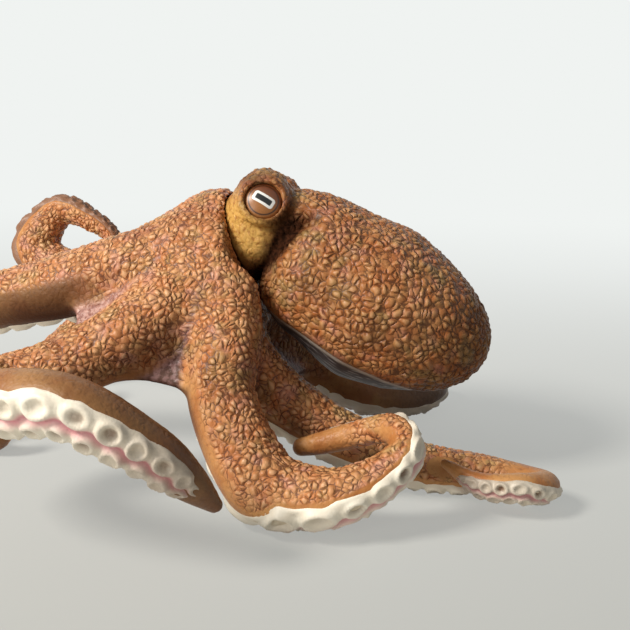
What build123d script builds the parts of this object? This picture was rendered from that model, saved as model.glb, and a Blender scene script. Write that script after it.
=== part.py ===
"""Octopus figurine: a head and mantle that turn in a collar, on a crown of eight webbed arms.

Millimetres, +Z up, standing on z = 0. +X is the mantle's end and -Y is the figurine's left side.
"""

import os
from math import acos, cos, degrees, radians, sin, sqrt

from build123d import *

# Body: the neck's axis and the mantle's axis lie in the plane y = BODY_Y
BODY_Y = 7.0
HEAD_CENTRE = Vector(6.0, BODY_Y, 57.5)
HEAD_RADIUS = 12.0
HEAD_TILT_DEG = 12.0
NAPE_CENTRE = Vector(15.3, BODY_Y, 56.4)

# Neck: the head's ball sits in a cup of the arm crown and turns about the neck axis
NECK_RISE_DEG = 20.0
NECK_SWING_DEG = 12.0
CUP_GAP = 0.35
RIM_SETBACK = 4.0
RIM_CLEAR_RADIUS = 18.0
PEG_RADIUS = 3.5
PEG_REACH = 9.0
PEG_GRIP = 6.0
PEG_HEAD_RADIUS = 4.6
PEG_HEAD_LENGTH = 2.5
PEG_TURN_GAP = 0.06
PEG_PRESS_GAP = 0.02
PEG_END_GAP = 0.4

# Eye turrets, and the eye discs let into them
TURRET_OFFSET = Vector(1.2, 6.0, 5.4)
TURRET_RADIUS = 7.6
TURRET_STRETCH = 2.4
TURRET_LEAN_DEG = 12.0
EYE_RADIUS = 4.2
EYE_DOME = 1.4
EYE_SHANK = 3.0
EYE_FACING = Vector(0.29, 0.92, 0.25)
EYE_DEPTH = 8.0
EYE_GAP = 0.05

# Mantle: an egg turned about its own axis, round as a ball in front. Its underside is a piece of its own.
# The profile goes on from the ball as (distance along the axis, radius).
MANTLE_START = Vector(7.7, BODY_Y, 56.0)
MANTLE_END = Vector(59.2, BODY_Y, 28.7)
MANTLE_BALL_PLACE = 17.0
MANTLE_BALL_RADIUS = 18.0
MANTLE_PROFILE = [(24.0, 19.0), (30.0, 19.2), (39.0, 16.9), (47.0, 12.3), (52.0, 9.9)]
MANTLE_WALL = 2.2
MANTLE_SEAT_GAP = 0.05
MANTLE_SWING_GAP = 0.6
BELLY_DROP = 12.0
BELLY_STEP = 0.8

# Arm crown: a ball that the arm roots and the webs grow from
CROWN_CENTRE = Vector(-6.0, BODY_Y, 49.0)
CROWN_RADIUS = 17.0
WEB_HALF_THICKNESS = 1.3
WEB_END_SHARE = 0.98
WEB_MIDDLE_SHARE = 0.92

# Mouth disc, on the underside of the crown
MOUTH_AXIS = Vector(-0.55, 0.0, -0.835).normalized()
MOUTH_RADIUS = 5.5
MOUTH_THICKNESS = 3.0
MOUTH_SEAT_DEPTH = 1.5
MOUTH_GAP = 0.05

# Arms: centre line points as (x, y, z, radius); JOIN is the point where an arm leaves the crown.
# "facing" gives the way that the suckers look at some of the points.
JOIN = 2
ARMS = {
    "left_1": {
        "points": [
            (-2, 3, 56, 7.7), (-18.5, -4, 52, 8.3), (-38, -7, 46, 8.0), (-57, -7, 41, 7.0),
            (-68, -4, 35, 6.2), (-74, -2, 23, 5.2), (-73, -3, 10.5, 4.2), (-67, -5, 3.2, 3.5),
            (-60, -7, 5.5, 2.7), (-59, -8, 11, 2.0), (-63, -8.5, 12.5, 1.4),
        ],
        "facing": {
            0: (0, 0.3, -1), 3: (0.2, 0.2, -1), 5: (1, 0, 0), 7: (0, 0, 1), 9: (-1, 0, 0.2),
            10: (-0.4, 0, -1),
        },
    },
    "left_2": {
        "points": [
            (-2, -1, 52, 8.0), (-14, -17, 40, 8.4), (-30.5, -27, 31.5, 7.6), (-42, -33, 28.5, 7.1),
            (-46, -44, 29.5, 6.7), (-36, -56, 33, 6.5), (-14, -62, 36, 6.1), (1, -59, 27.5, 5.2),
            (7, -55.5, 20.5, 4.1), (11.5, -52, 14, 1.8),
        ],
        "facing": {
            0: (-0.3, 0.5, -1), 2: (0, 0.3, -1), 4: (-0.7, 0, -0.7), 6: (0, -0.93, -0.35),
            9: (0.2, -0.9, -0.3),
        },
    },
    "left_3": {
        "points": [
            (0.5, -3, 52.5, 8.0), (3.5, -16, 37, 7.8), (4.5, -23, 25, 7.6), (14, -30, 11, 8.2),
            (22, -32, 8, 7.6), (32, -33, 9, 6.4), (41, -30.5, 13, 5.0), (46, -26, 18, 4.0),
            (42, -20.5, 20.5, 3.3), (33.5, -18, 17.5, 2.7), (26, -17.5, 14.8, 2.1), (21, -17, 13.2, 1.4),
        ],
        "facing": {
            0: (-0.5, 0.8, -0.2), 2: (-0.45, 0.88, -0.1), 2.7: (-0.75, 0.3, -0.55), 4: (0, -0.35, -1),
            6: (0.6, -0.4, -0.7), 7: (1, 0, 0), 8: (0.5, 0.4, 0.8), 9: (0, 0.4, 0.9),
        },
    },
    "left_4": {
        "points": [
            (-2, 2, 43.5, 8.0), (2.5, -4, 31.5, 7.8), (12.5, -6, 21, 7.4), (27.5, -6, 12, 6.7),
            (45.5, -5, 6, 5.8), (60, -5, 5, 4.9), (70, -6, 4.3, 4.2), (75, -10.5, 5.5, 3.7),
            (70, -16.5, 7.5, 3.3), (61, -16.5, 7.5, 2.7), (53, -13, 10, 1.3),
        ],
        "facing": {
            0: (-0.6, 0.3, -0.7), 2: (-0.6, 0, -0.8), 4: (0, -0.2, -1), 7: (0.6, 0, -0.8),
            8: (0, -0.85, -0.5), 10: (0, -0.3, -1),
        },
    },
    "right_1": {
        "points": [
            (-6.5, 13, 53.5, 8.0), (-22, 22, 48, 8.2), (-40.5, 31, 42.5, 7.8), (-57.5, 38, 38, 7.4),
            (-69, 42, 40.5, 7.0), (-73, 44, 47, 6.5), (-65.5, 45, 56.5, 4.6), (-54, 43, 53.3, 3.2),
            (-48.5, 42, 49.5, 2.5), (-49, 41, 45.8, 2.0), (-52.5, 41, 46.5, 1.4),
        ],
        "facing": {
            0: (0, -0.3, -1), 3: (-0.3, 0, -1), 5: (-1, 0.2, 0), 6: (-0.2, 0.2, 1), 7: (0.7, 0.2, 0.7),
            8: (1, 0, 0.4), 9: (0.6, 0, -1), 10: (-0.4, 0, -1),
        },
    },
    "right_2": {
        "points": [
            (-4, 17, 51, 8.0), (-17, 32, 45.5, 8.2), (-30, 45, 38.5, 7.8), (-46, 53, 30, 7.1),
            (-63, 52.5, 18.5, 6.2), (-73, 43.5, 9, 5.1), (-70, 32, 3.9, 4.2), (-60, 29.5, 4.5, 3.3),
            (-55, 34, 8.5, 2.3), (-59, 37, 11, 1.5),
        ],
        "facing": {
            0: (0, -0.4, -1), 3: (0.4, -0.3, -1), 5: (1, 0, -0.2), 6: (0.6, 0.5, 0.6),
            7: (-0.3, 0.7, 0.5), 8: (-1, 0.2, 0), 9: (-0.5, -0.8, -0.2),
        },
    },
    "right_3": {
        "points": [
            (0, 19, 48, 8.0), (0, 33, 40, 8.0), (-1, 46, 30, 7.6), (-2, 57, 17, 7.0),
            (-7, 62, 9, 6.3), (-16, 61.5, 5.6, 5.4), (-24, 55, 4.9, 4.4), (-24, 47.5, 7, 3.4),
            (-18.5, 45.5, 10, 2.4), (-16, 49, 10.5, 1.5),
        ],
        "facing": {
            0: (-0.4, -0.7, -0.5), 3: (-0.2, -0.7, -0.6), 5: (0, 0.1, -1), 6: (-0.2, 0, -1),
            7: (-0.8, -0.3, -0.5), 8: (0.2, -0.9, 0), 9: (1, -0.3, 0.2),
        },
    },
    "right_4": {
        "points": [
            (-1, 13, 42, 8.0), (5, 24, 27, 7.6), (14, 33, 16.5, 7.0), (26, 39, 8.5, 6.5),
            (37, 43.5, 5.8, 5.6), (44, 50.5, 6.5, 4.7), (42, 60, 6.5, 3.9), (33, 64, 5, 3.1),
            (26.5, 59.5, 4.5, 2.3), (29, 54, 6, 1.5),
        ],
        "facing": {
            0: (-0.6, -0.3, -0.7), 2: (-0.5, -0.2, -0.8), 4: (0, -0.3, -1), 6: (0.6, 0.6, -0.6),
            9: (0, 0, -1),
        },
    },
}
ARM_RING = ["left_1", "left_2", "left_3", "left_4", "right_4", "right_3", "right_2", "right_1"]
STEPS_PER_SPAN = 5
NUDGE = 0.01
TIP_ROUNDING = [(0.55, 0.82), (0.90, 0.45)]

# Each arm plugs into its root on a round peg
ARM_PEG_SHARE = 0.45
ARM_PEG_LENGTH = 6.0
ARM_PEG_GAP = 0.05

# Sucker band, as shares of the arm's radius: two rows of suckers that take turns, with a groove between
FLAT_SHARE = 0.62
BAND_START = JOIN
BAND_END_SHARE = 0.86
BAND_HALF_WIDTH = 0.70
BAND_GAP = 0.10
BAND_REACH = 1.02
GROOVE_REACH = 0.88
CUP_PITCH = 0.80
CUP_SWELL = 0.08
STEPS_PER_CUP = 4

FLOOR_BLOCK = 400.0
FROM_BASE = (Align.CENTER, Align.CENTER, Align.MIN)

BODY_SIDE = Vector(0, 1, 0)
NECK_AXIS = Vector(cos(radians(NECK_RISE_DEG)), 0, sin(radians(NECK_RISE_DEG)))
MANTLE_AXIS = (MANTLE_END - MANTLE_START).normalized()
MANTLE_UP = MANTLE_AXIS.cross(BODY_SIDE)
MANTLE_LENGTH = (MANTLE_END - MANTLE_START).length


def catmull_rom(a, b, c, d, t):
    """A value on the smooth curve between b and c."""
    return 0.5 * (2 * b + (c - a) * t + (2 * a - 5 * b + 4 * c - d) * t**2 + (3 * b - a - 3 * c + d) * t**3)


def arm_value(arm, place):
    """Centre and radius of an arm at a place counted in points, with the ends run on straight."""
    points = arm["points"]
    first = [2 * p - q for p, q in zip(points[0], points[1])]
    last = [2 * p - q for p, q in zip(points[-1], points[-2])]
    padded = [first, *points, last]
    span = min(int(place), len(points) - 2)
    values = [catmull_rom(*four, place - span) for four in zip(*padded[span : span + 4])]
    return Vector(*values[:3]), values[3]


def last_place(arm):
    """Number of an arm's last point."""
    return len(arm["points"]) - 1


def arm_pace(arm, place):
    """How an arm's centre moves at a place, per point."""
    ahead = min(place + NUDGE, last_place(arm))
    behind = max(place - NUDGE, 0)
    return (arm_value(arm, ahead)[0] - arm_value(arm, behind)[0]) / (ahead - behind)


def arm_facing(facing, place):
    """The way that the suckers look at a place counted in points."""
    known = sorted(facing)
    if place <= known[0]:
        return Vector(*facing[known[0]])
    for before, after in zip(known, known[1:]):
        if place <= after:
            share = (place - before) / (after - before)
            return Vector(*facing[before]) * (1 - share) + Vector(*facing[after]) * share
    return Vector(*facing[known[-1]])


def arm_plane(arm, place):
    """Plane across an arm: z along the arm, x the way that the suckers look."""
    along = arm_pace(arm, place).normalized()
    look = arm_facing(arm["facing"], place)
    look = look - along * look.dot(along)
    return Plane(origin=arm_value(arm, place)[0], x_dir=look, z_dir=along)


def places(start, end):
    """Evenly spaced places from one point number to another."""
    count = max(2, round((end - start) * STEPS_PER_SPAN))
    return [start + (end - start) * i / count for i in range(count + 1)]


def cup_places(arm):
    """Places along an arm's suckers, a few for each sucker of a row."""
    end = last_place(arm) * BAND_END_SHARE
    spots = [BAND_START]
    while spots[-1] < end:
        here = spots[-1]
        step = CUP_PITCH / STEPS_PER_CUP * arm_value(arm, here)[1]
        spots.append(here + step / arm_pace(arm, here).length)
    return spots


def root_tube(arm):
    """Round arm root, as part of the crown."""
    return loft([arm_plane(arm, p) * Circle(arm_value(arm, p)[1]) for p in places(0, JOIN)])


def flat_section(radius):
    """Arm section: a circle cut flat on the sucker side."""
    flat = radius * FLAT_SHARE
    half = radius * sqrt(1 - FLAT_SHARE**2)
    back = ThreePointArc((flat, half), (-radius, 0), (flat, -half))
    return make_face([back, Line(back @ 1, back @ 0)])


def band_section(radius, first_reach, second_reach):
    """Sucker band section: flat on the arm's side, with a bulge for each row and a groove between them."""
    flat = radius * FLAT_SHARE + BAND_GAP
    half = radius * BAND_HALF_WIDTH
    groove = (radius * GROOVE_REACH, 0)
    first = ThreePointArc((flat, half), (radius * first_reach, half / 2), groove)
    second = ThreePointArc(groove, (radius * second_reach, -half / 2), (flat, -half))
    return make_face([first, second, Line(second @ 1, first @ 0)])


def arm_tube(arm):
    """Arm from where it leaves the crown to its rounded tip."""
    end = last_place(arm)
    sections = [arm_plane(arm, p) * flat_section(arm_value(arm, p)[1]) for p in places(JOIN, end)]
    tip = arm_plane(arm, end)
    radius = arm_value(arm, end)[1]
    sections += [tip.offset(radius * ahead) * flat_section(radius * share) for ahead, share in TIP_ROUNDING]
    return loft(sections)


def arm_band(arm):
    """Sucker band on the flat side of an arm, with the suckers of its two rows taking turns."""
    sections = []
    for number, place in enumerate(cup_places(arm)):
        swell = CUP_SWELL * cos(radians(360 / STEPS_PER_CUP * number))
        face = band_section(arm_value(arm, place)[1], BAND_REACH + swell, BAND_REACH - swell)
        sections.append(arm_plane(arm, place) * face)
    return loft(sections, ruled=True)


def arm_peg(arm, gap):
    """Peg of an arm, or with a gap its hole in the crown."""
    radius = arm_value(arm, JOIN)[1] * ARM_PEG_SHARE + gap
    to_seat = (Align.CENTER, Align.CENTER, Align.MAX)
    return arm_plane(arm, JOIN) * Cylinder(radius, ARM_PEG_LENGTH + gap, align=to_seat)


def above_floor(shape):
    """Cuts a shape flat where it stands."""
    below = Pos(0, 0, -FLOOR_BLOCK / 2) * Box(FLOOR_BLOCK, FLOOR_BLOCK, FLOOR_BLOCK)
    return shape - below


def web(first, second):
    """Skin web between two neighbouring arm roots, with its free edge drawn in."""
    near, far, drawn = (
        [arm_value(arm, JOIN * share)[0] for arm in (first, second)]
        for share in (0, WEB_END_SHARE, WEB_MIDDLE_SHARE)
    )
    across = far[1] - far[0]
    along = far[0] + far[1] - near[0] - near[1]
    thick = across.cross(along).normalized() * WEB_HALF_THICKNESS
    middle = ((near[0] + near[1]) / 2, (drawn[0] + drawn[1]) / 2)
    sections = []
    for inner, outer in ((near[0], far[0]), middle, (near[1], far[1])):
        corners = [inner + thick, outer + thick, outer - thick, inner - thick]
        sections.append(make_face(Polyline(*corners, close=True)))
    return loft(sections)


def along_neck(distance):
    """Plane across the neck axis at a distance from the head's centre."""
    return Plane(origin=HEAD_CENTRE + NECK_AXIS * distance, x_dir=BODY_SIDE, z_dir=NECK_AXIS)


def neck_room():
    """Room in the crown for the head's ball, its swing and the neck peg."""
    ball = Pos(*HEAD_CENTRE) * Sphere(HEAD_RADIUS + CUP_GAP)
    swing = along_neck(-RIM_SETBACK) * Cylinder(RIM_CLEAR_RADIUS, 2 * CROWN_RADIUS, align=FROM_BASE)
    bottom = -HEAD_RADIUS - PEG_REACH
    stem = along_neck(bottom) * Cylinder(PEG_RADIUS + PEG_TURN_GAP, PEG_REACH + CUP_GAP, align=FROM_BASE)
    head = along_neck(bottom - PEG_END_GAP) * Cylinder(
        PEG_HEAD_RADIUS + PEG_TURN_GAP, PEG_HEAD_LENGTH + 2 * PEG_END_GAP, align=FROM_BASE
    )
    return ball + swing + stem + head


def mantle_room():
    """Room in the crown for the mantle's front, however far the neck is turned."""
    centre = MANTLE_START + MANTLE_AXIS * MANTLE_BALL_PLACE
    ball = Pos(*centre) * Sphere(MANTLE_BALL_RADIUS + MANTLE_SWING_GAP)
    neck = Axis(tuple(HEAD_CENTRE), tuple(NECK_AXIS))
    return ball + ball.rotate(neck, -NECK_SWING_DEG) + ball.rotate(neck, NECK_SWING_DEG)


def neck_peg():
    """Mushroom peg: pressed into the head and turning in the crown."""
    bottom = -HEAD_RADIUS - PEG_REACH
    stem = along_neck(bottom) * Cylinder(PEG_RADIUS, PEG_REACH + PEG_GRIP, align=FROM_BASE)
    head = along_neck(bottom) * Cylinder(PEG_HEAD_RADIUS, PEG_HEAD_LENGTH, align=FROM_BASE)
    return stem + head


def mouth_seat():
    """Plane that the mouth disc lies on, a little inside the crown's ball."""
    sink = CROWN_RADIUS - MOUTH_SEAT_DEPTH
    return Plane(origin=CROWN_CENTRE + MOUTH_AXIS * sink, x_dir=BODY_SIDE, z_dir=MOUTH_AXIS)


def mouth_disc():
    """Disc with the mouth."""
    return mouth_seat() * Cylinder(MOUTH_RADIUS, MOUTH_THICKNESS, align=FROM_BASE)


def mouth_pocket():
    """Room for the mouth disc, open downwards."""
    return mouth_seat() * Cylinder(MOUTH_RADIUS + MOUTH_GAP, CROWN_RADIUS, align=FROM_BASE)


def arm_crown():
    """Collar, eight arm roots and the webs between them, as one moulding."""
    crown = Pos(*CROWN_CENTRE) * Sphere(CROWN_RADIUS)
    roots = [root_tube(ARMS[name]) for name in ARM_RING]
    webs = [web(ARMS[a], ARMS[b]) for a, b in zip(ARM_RING, ARM_RING[1:] + ARM_RING[:1])]
    crown = crown.fuse(*roots, *webs)
    crown = crown - neck_room() - mantle_room() - mouth_pocket()
    for name in ARM_RING:
        crown = crown - arm_peg(ARMS[name], ARM_PEG_GAP)
    return crown


def sided(vector, side):
    """A vector given for the +Y side of an upright head, on the side asked for of the tilted head."""
    return Vector(vector.X, vector.Y * side, vector.Z).rotate(Axis.X, -HEAD_TILT_DEG)


def turret(side):
    """Eye turret: a ball drawn out upwards, cut flat where it would meet the collar."""
    centre = HEAD_CENTRE + sided(TURRET_OFFSET, side)
    half = Edge.make_ellipse(TURRET_RADIUS + TURRET_STRETCH, TURRET_RADIUS, start_angle=0, end_angle=180)
    profile = make_face([half, Line(half @ 1, half @ 0)])
    ball = Pos(*centre) * Rot(0, -90 + TURRET_LEAN_DEG, 0) * revolve(profile, Axis.X, 360)
    return split(ball, bisect_by=along_neck(CUP_GAP - RIM_SETBACK), keep=Keep.TOP)


def eye_plane(side):
    """Plane of an eye disc, facing outwards."""
    facing = sided(EYE_FACING, side).normalized()
    centre = HEAD_CENTRE + sided(TURRET_OFFSET, side) + facing * (EYE_DEPTH - EYE_DOME)
    return Plane(origin=centre, x_dir=Vector(1, 0, 0), z_dir=facing)


def eye(side):
    """Eye: a shank with a domed face."""
    dome_radius = (EYE_RADIUS**2 + EYE_DOME**2) / (2 * EYE_DOME)
    rim_angle = degrees(acos(EYE_RADIUS / dome_radius))
    dome = CenterArc((0, EYE_DOME - dome_radius), dome_radius, rim_angle, 90 - rim_angle)
    shank = Polyline(dome @ 1, (0, -EYE_SHANK), (EYE_RADIUS, -EYE_SHANK), dome @ 0)
    half = Plane.XZ * make_face([*dome.edges(), *shank.edges()])
    return eye_plane(side) * revolve(half, Axis.Z, 360)


def eye_pocket(side):
    """Room for an eye's shank in its turret."""
    back = eye_plane(side).offset(-EYE_SHANK)
    return back * Cylinder(EYE_RADIUS + EYE_GAP, EYE_SHANK + EYE_DEPTH, align=FROM_BASE)


def head_ball():
    """Ball of the head, drawn out to the nape."""
    nape = NAPE_CENTRE - HEAD_CENTRE
    front = CenterArc((0, 0), HEAD_RADIUS, 90, 90)
    back = CenterArc((nape.length, 0), HEAD_RADIUS, 0, 90)
    half = make_face([front, back, Line(front @ 0, back @ 1), Line(front @ 1, back @ 0)])
    return Plane(origin=HEAD_CENTRE, x_dir=nape, z_dir=BODY_SIDE) * revolve(half, Axis.X, 360)


def head_shell():
    """Head with its two eye turrets, hollowed where it sits on the mantle's front."""
    head = head_ball() + turret(-1) + turret(1)
    bottom = along_neck(-HEAD_RADIUS - PEG_REACH)
    hole = bottom * Cylinder(PEG_RADIUS + PEG_PRESS_GAP, PEG_REACH + PEG_GRIP, align=FROM_BASE)
    return head - egg(-MANTLE_SEAT_GAP) - hole - eye_pocket(-1) - eye_pocket(1)


def egg(inset):
    """The mantle's egg, drawn in by an inset."""
    front = CenterArc((MANTLE_BALL_PLACE, 0), MANTLE_BALL_RADIUS - inset, 90, 90)
    points = [(along, radius - inset) for along, radius in MANTLE_PROFILE]
    tail = (MANTLE_LENGTH - inset, 0)
    curve = Spline(front @ 0, *points, tail, tangents=[(1, 0), (0, -1)])
    outline = make_face([front, curve, Line(tail, front @ 1)])
    placed = Plane(origin=MANTLE_START, x_dir=MANTLE_AXIS, z_dir=MANTLE_UP)
    return placed * revolve(outline, Axis.X, 360)


def belly_plane():
    """Parting plane between the mantle and its underside."""
    return Plane(origin=MANTLE_START - MANTLE_UP * BELLY_DROP, x_dir=MANTLE_AXIS, z_dir=MANTLE_UP)


def mantle_shell():
    """Upper part of the mantle, hollow."""
    hollow = egg(0) - egg(MANTLE_WALL)
    return split(hollow, bisect_by=belly_plane(), keep=Keep.TOP)


def mantle_belly():
    """Underside of the mantle, a little smaller than the shell above it."""
    dish = egg(BELLY_STEP) - egg(MANTLE_WALL + BELLY_STEP)
    return split(dish, bisect_by=belly_plane(), keep=Keep.BOTTOM)


def build():
    """All pieces by name."""
    pieces = {
        "arm_crown": arm_crown(),
        "mouth_disc": mouth_disc(),
        "neck_peg": neck_peg(),
        "head_shell": head_shell(),
        "mantle_shell": mantle_shell(),
        "mantle_belly": mantle_belly(),
        "eye_left": eye(-1),
        "eye_right": eye(1),
    }
    for name in ARM_RING:
        arm = ARMS[name]
        pieces[f"arm_{name}"] = above_floor(arm_tube(arm) + arm_peg(arm, 0))
        pieces[f"suckers_{name}"] = above_floor(arm_band(arm))
    return pieces


def export_all(pieces):
    """Writes each piece to its own file."""
    os.makedirs("parts", exist_ok=True)
    for name, shape in pieces.items():
        export_step(shape, f"parts/{name}.step")


export_all(build())
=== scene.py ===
"""Octopus figurine: skin, suckers, eyes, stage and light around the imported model.

The skins are carved as distance fields from the same centre lines as the solids, meshed, and then
given their cobbled relief. Sizes are in millimetres until a mesh is made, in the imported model's frame.
"""

import math

import bpy
import numpy as np
import openvdb
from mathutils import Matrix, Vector


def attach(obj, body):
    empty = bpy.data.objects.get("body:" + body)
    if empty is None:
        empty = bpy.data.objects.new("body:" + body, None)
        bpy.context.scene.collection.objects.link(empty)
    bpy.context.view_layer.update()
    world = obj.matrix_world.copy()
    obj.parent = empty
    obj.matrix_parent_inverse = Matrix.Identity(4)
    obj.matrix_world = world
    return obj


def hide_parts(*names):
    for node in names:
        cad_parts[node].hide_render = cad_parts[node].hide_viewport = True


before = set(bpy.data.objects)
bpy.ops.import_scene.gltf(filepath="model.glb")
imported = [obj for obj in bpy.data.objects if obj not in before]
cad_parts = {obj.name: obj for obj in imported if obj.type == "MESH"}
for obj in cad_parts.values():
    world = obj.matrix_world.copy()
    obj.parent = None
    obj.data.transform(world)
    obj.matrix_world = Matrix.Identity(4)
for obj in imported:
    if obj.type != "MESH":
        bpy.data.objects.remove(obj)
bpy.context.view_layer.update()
MM = 0.001

# Grid of the distance fields
STEP = 0.48
FAR = 50.0
CROWN_BOX = (-84, -73, -2), (82, 73, 72)
BODY_BOX = (-9, -18, 8), (68, 32, 78)
BELLY_BOX = (0, -18, 4), (68, 32, 62)
LEAST_SLOPE = 1e-4
BATCH = 20000

# Head, neck and mantle
BODY_Y = 7.0
HEAD_CENTRE = np.array([6.0, BODY_Y, 57.5])
HEAD_RADIUS = 12.0
NECK_RISE_DEG = 20.0
NECK_SWING_DEG = 12.0
CUP_GAP = 0.35
RIM_SETBACK = 4.0
RIM_CLEAR_RADIUS = 18.0
RIM_ROUNDING = 1.4
HEAD_TILT_DEG = 12.0
TURRET_OFFSET = np.array([1.2, 6.0, 5.4])
TURRET_RADIUS = 7.6
TURRET_STRETCH = 2.4
TURRET_LEAN_DEG = 12.0
TURRET_BLEND = 1.8
TURRET_CUT_ROUNDING = 1.0
CHEEK_OFFSET = np.array([-3, 3, -4])
EYE_RADIUS = 4.2
EYE_DOME = 1.4
EYE_FACING = np.array([0.29, 0.92, 0.25])
EYE_DEPTH = 8.0
EYE_SINK = 0.5
EYE_LID_RADIUS = 1.1
EYE_SLOPE_DEG = -25.0
EYE_POCKET_GAP = 0.15
EYE_POCKET_ROUNDING = 0.5
EYE_LID_SHARE = 0.6
EYE_LID_DROP = 0.1
EYE_LID_BLEND = 1.2
EYE_WALL = 2.0
EYE_COLUMNS = 48
EYE_ROWS = 14
EYE_LAST_SHARE = 0.02
# The eye's pale frame and its pupil as rounded bars: half width, half height and corner radius
FRAME_BAR = (2.65, 1.25, 0.7)
PUPIL_BAR = (2.0, 0.66, 0.22)
BAR_SOFTNESS = 0.06
NAPE_CENTRE = np.array([15.3, BODY_Y, 56.4])
NAPE_RADIUS = 12.0
MANTLE_START = np.array([7.7, BODY_Y, 56.0])
MANTLE_END = np.array([59.2, BODY_Y, 28.7])
# The mantle as balls near its axis: distance along the axis, height over it, and radius
MANTLE_BALLS = [(17.0, 0.0, 18.0), (30.0, -0.7, 19.3), (39.2, -0.4, 16.9), (47.3, 0.5, 11.8)]
MANTLE_BLEND = 3.0
MANTLE_SWING_GAP = 0.6
FOLD_PITCH = 1.9
FOLD_DEPTH = 0.32
FOLD_SLANT = 0.25
NECK_FOLD_DEPTH = 1.3
NECK_FOLD_WIDTH = 1.6
NECK_BLEND = 0.5
NECK_BLEND_MORE = 5
BELLY_DROP = 12.0
BELLY_STEP = 0.8
LIP_ROUNDING = 1.2
STREAK_LENGTH = 7
STREAK_WIDTH = 0.9

# Arm crown and webs
CROWN_CENTRE = np.array([-6.0, BODY_Y, 49.0])
CROWN_RADIUS = 17.0
CROWN_BLEND = 7.0
COLLAR_RIDGE_CENTRE = np.array([-4.5, BODY_Y, 59.0])
COLLAR_RIDGE_RADIUS = 9.0
BLEND_NEAR = 6.0
BLEND_FAR = 0.3
BLEND_RANGE = (24.0, 52.0)
WEB_RADIUS = 1.0
WEB_END_SHARE = 0.98
WEB_MIDDLE_SHARE = 0.92
WEB_ROWS = 30
WEB_COLUMNS = 10

# Middles of the paler webs, between the first and second arm of each side
LILAC_WEBS = [np.array([-26.0, -14.0, 42.0]), np.array([-26.0, 30.0, 42.0])]

# The way that the lower flanks of the arm roots look, which are darkened with painted shade
SHADY_LOOK = np.array([0.55, -0.5, -0.67])

# Mouth disc
MOUTH_AXIS = np.array([-0.55, 0.0, -0.835])
MOUTH_RADIUS = 5.5
MOUTH_SINK = 15.5
MOUTH_COLUMNS = 96
MOUTH_FOLDS = 16
MOUTH_FOLD_DEPTH = 0.05
MOUTH_LIPS = (0.2, 0.95)
# Rows of the mouth from its wall to the beak: share of the radius, height, pink, and brown wash with painted
# shade
MOUTH_ROWS = [
    (1.0, 0.0, 0.0, 0.6), (1.0, 2.2, 0.0, 0.2), (0.85, 3.0, 0.0, 0.0), (0.62, 2.7, 0.8, 0.3),
    (0.45, 3.0, 0.4, 0.0), (0.30, 2.4, 0.8, 0.3), (0.22, 1.4, 0.0, 1.0), (0.05, 2.2, 0.0, 1.0),
]

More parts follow.
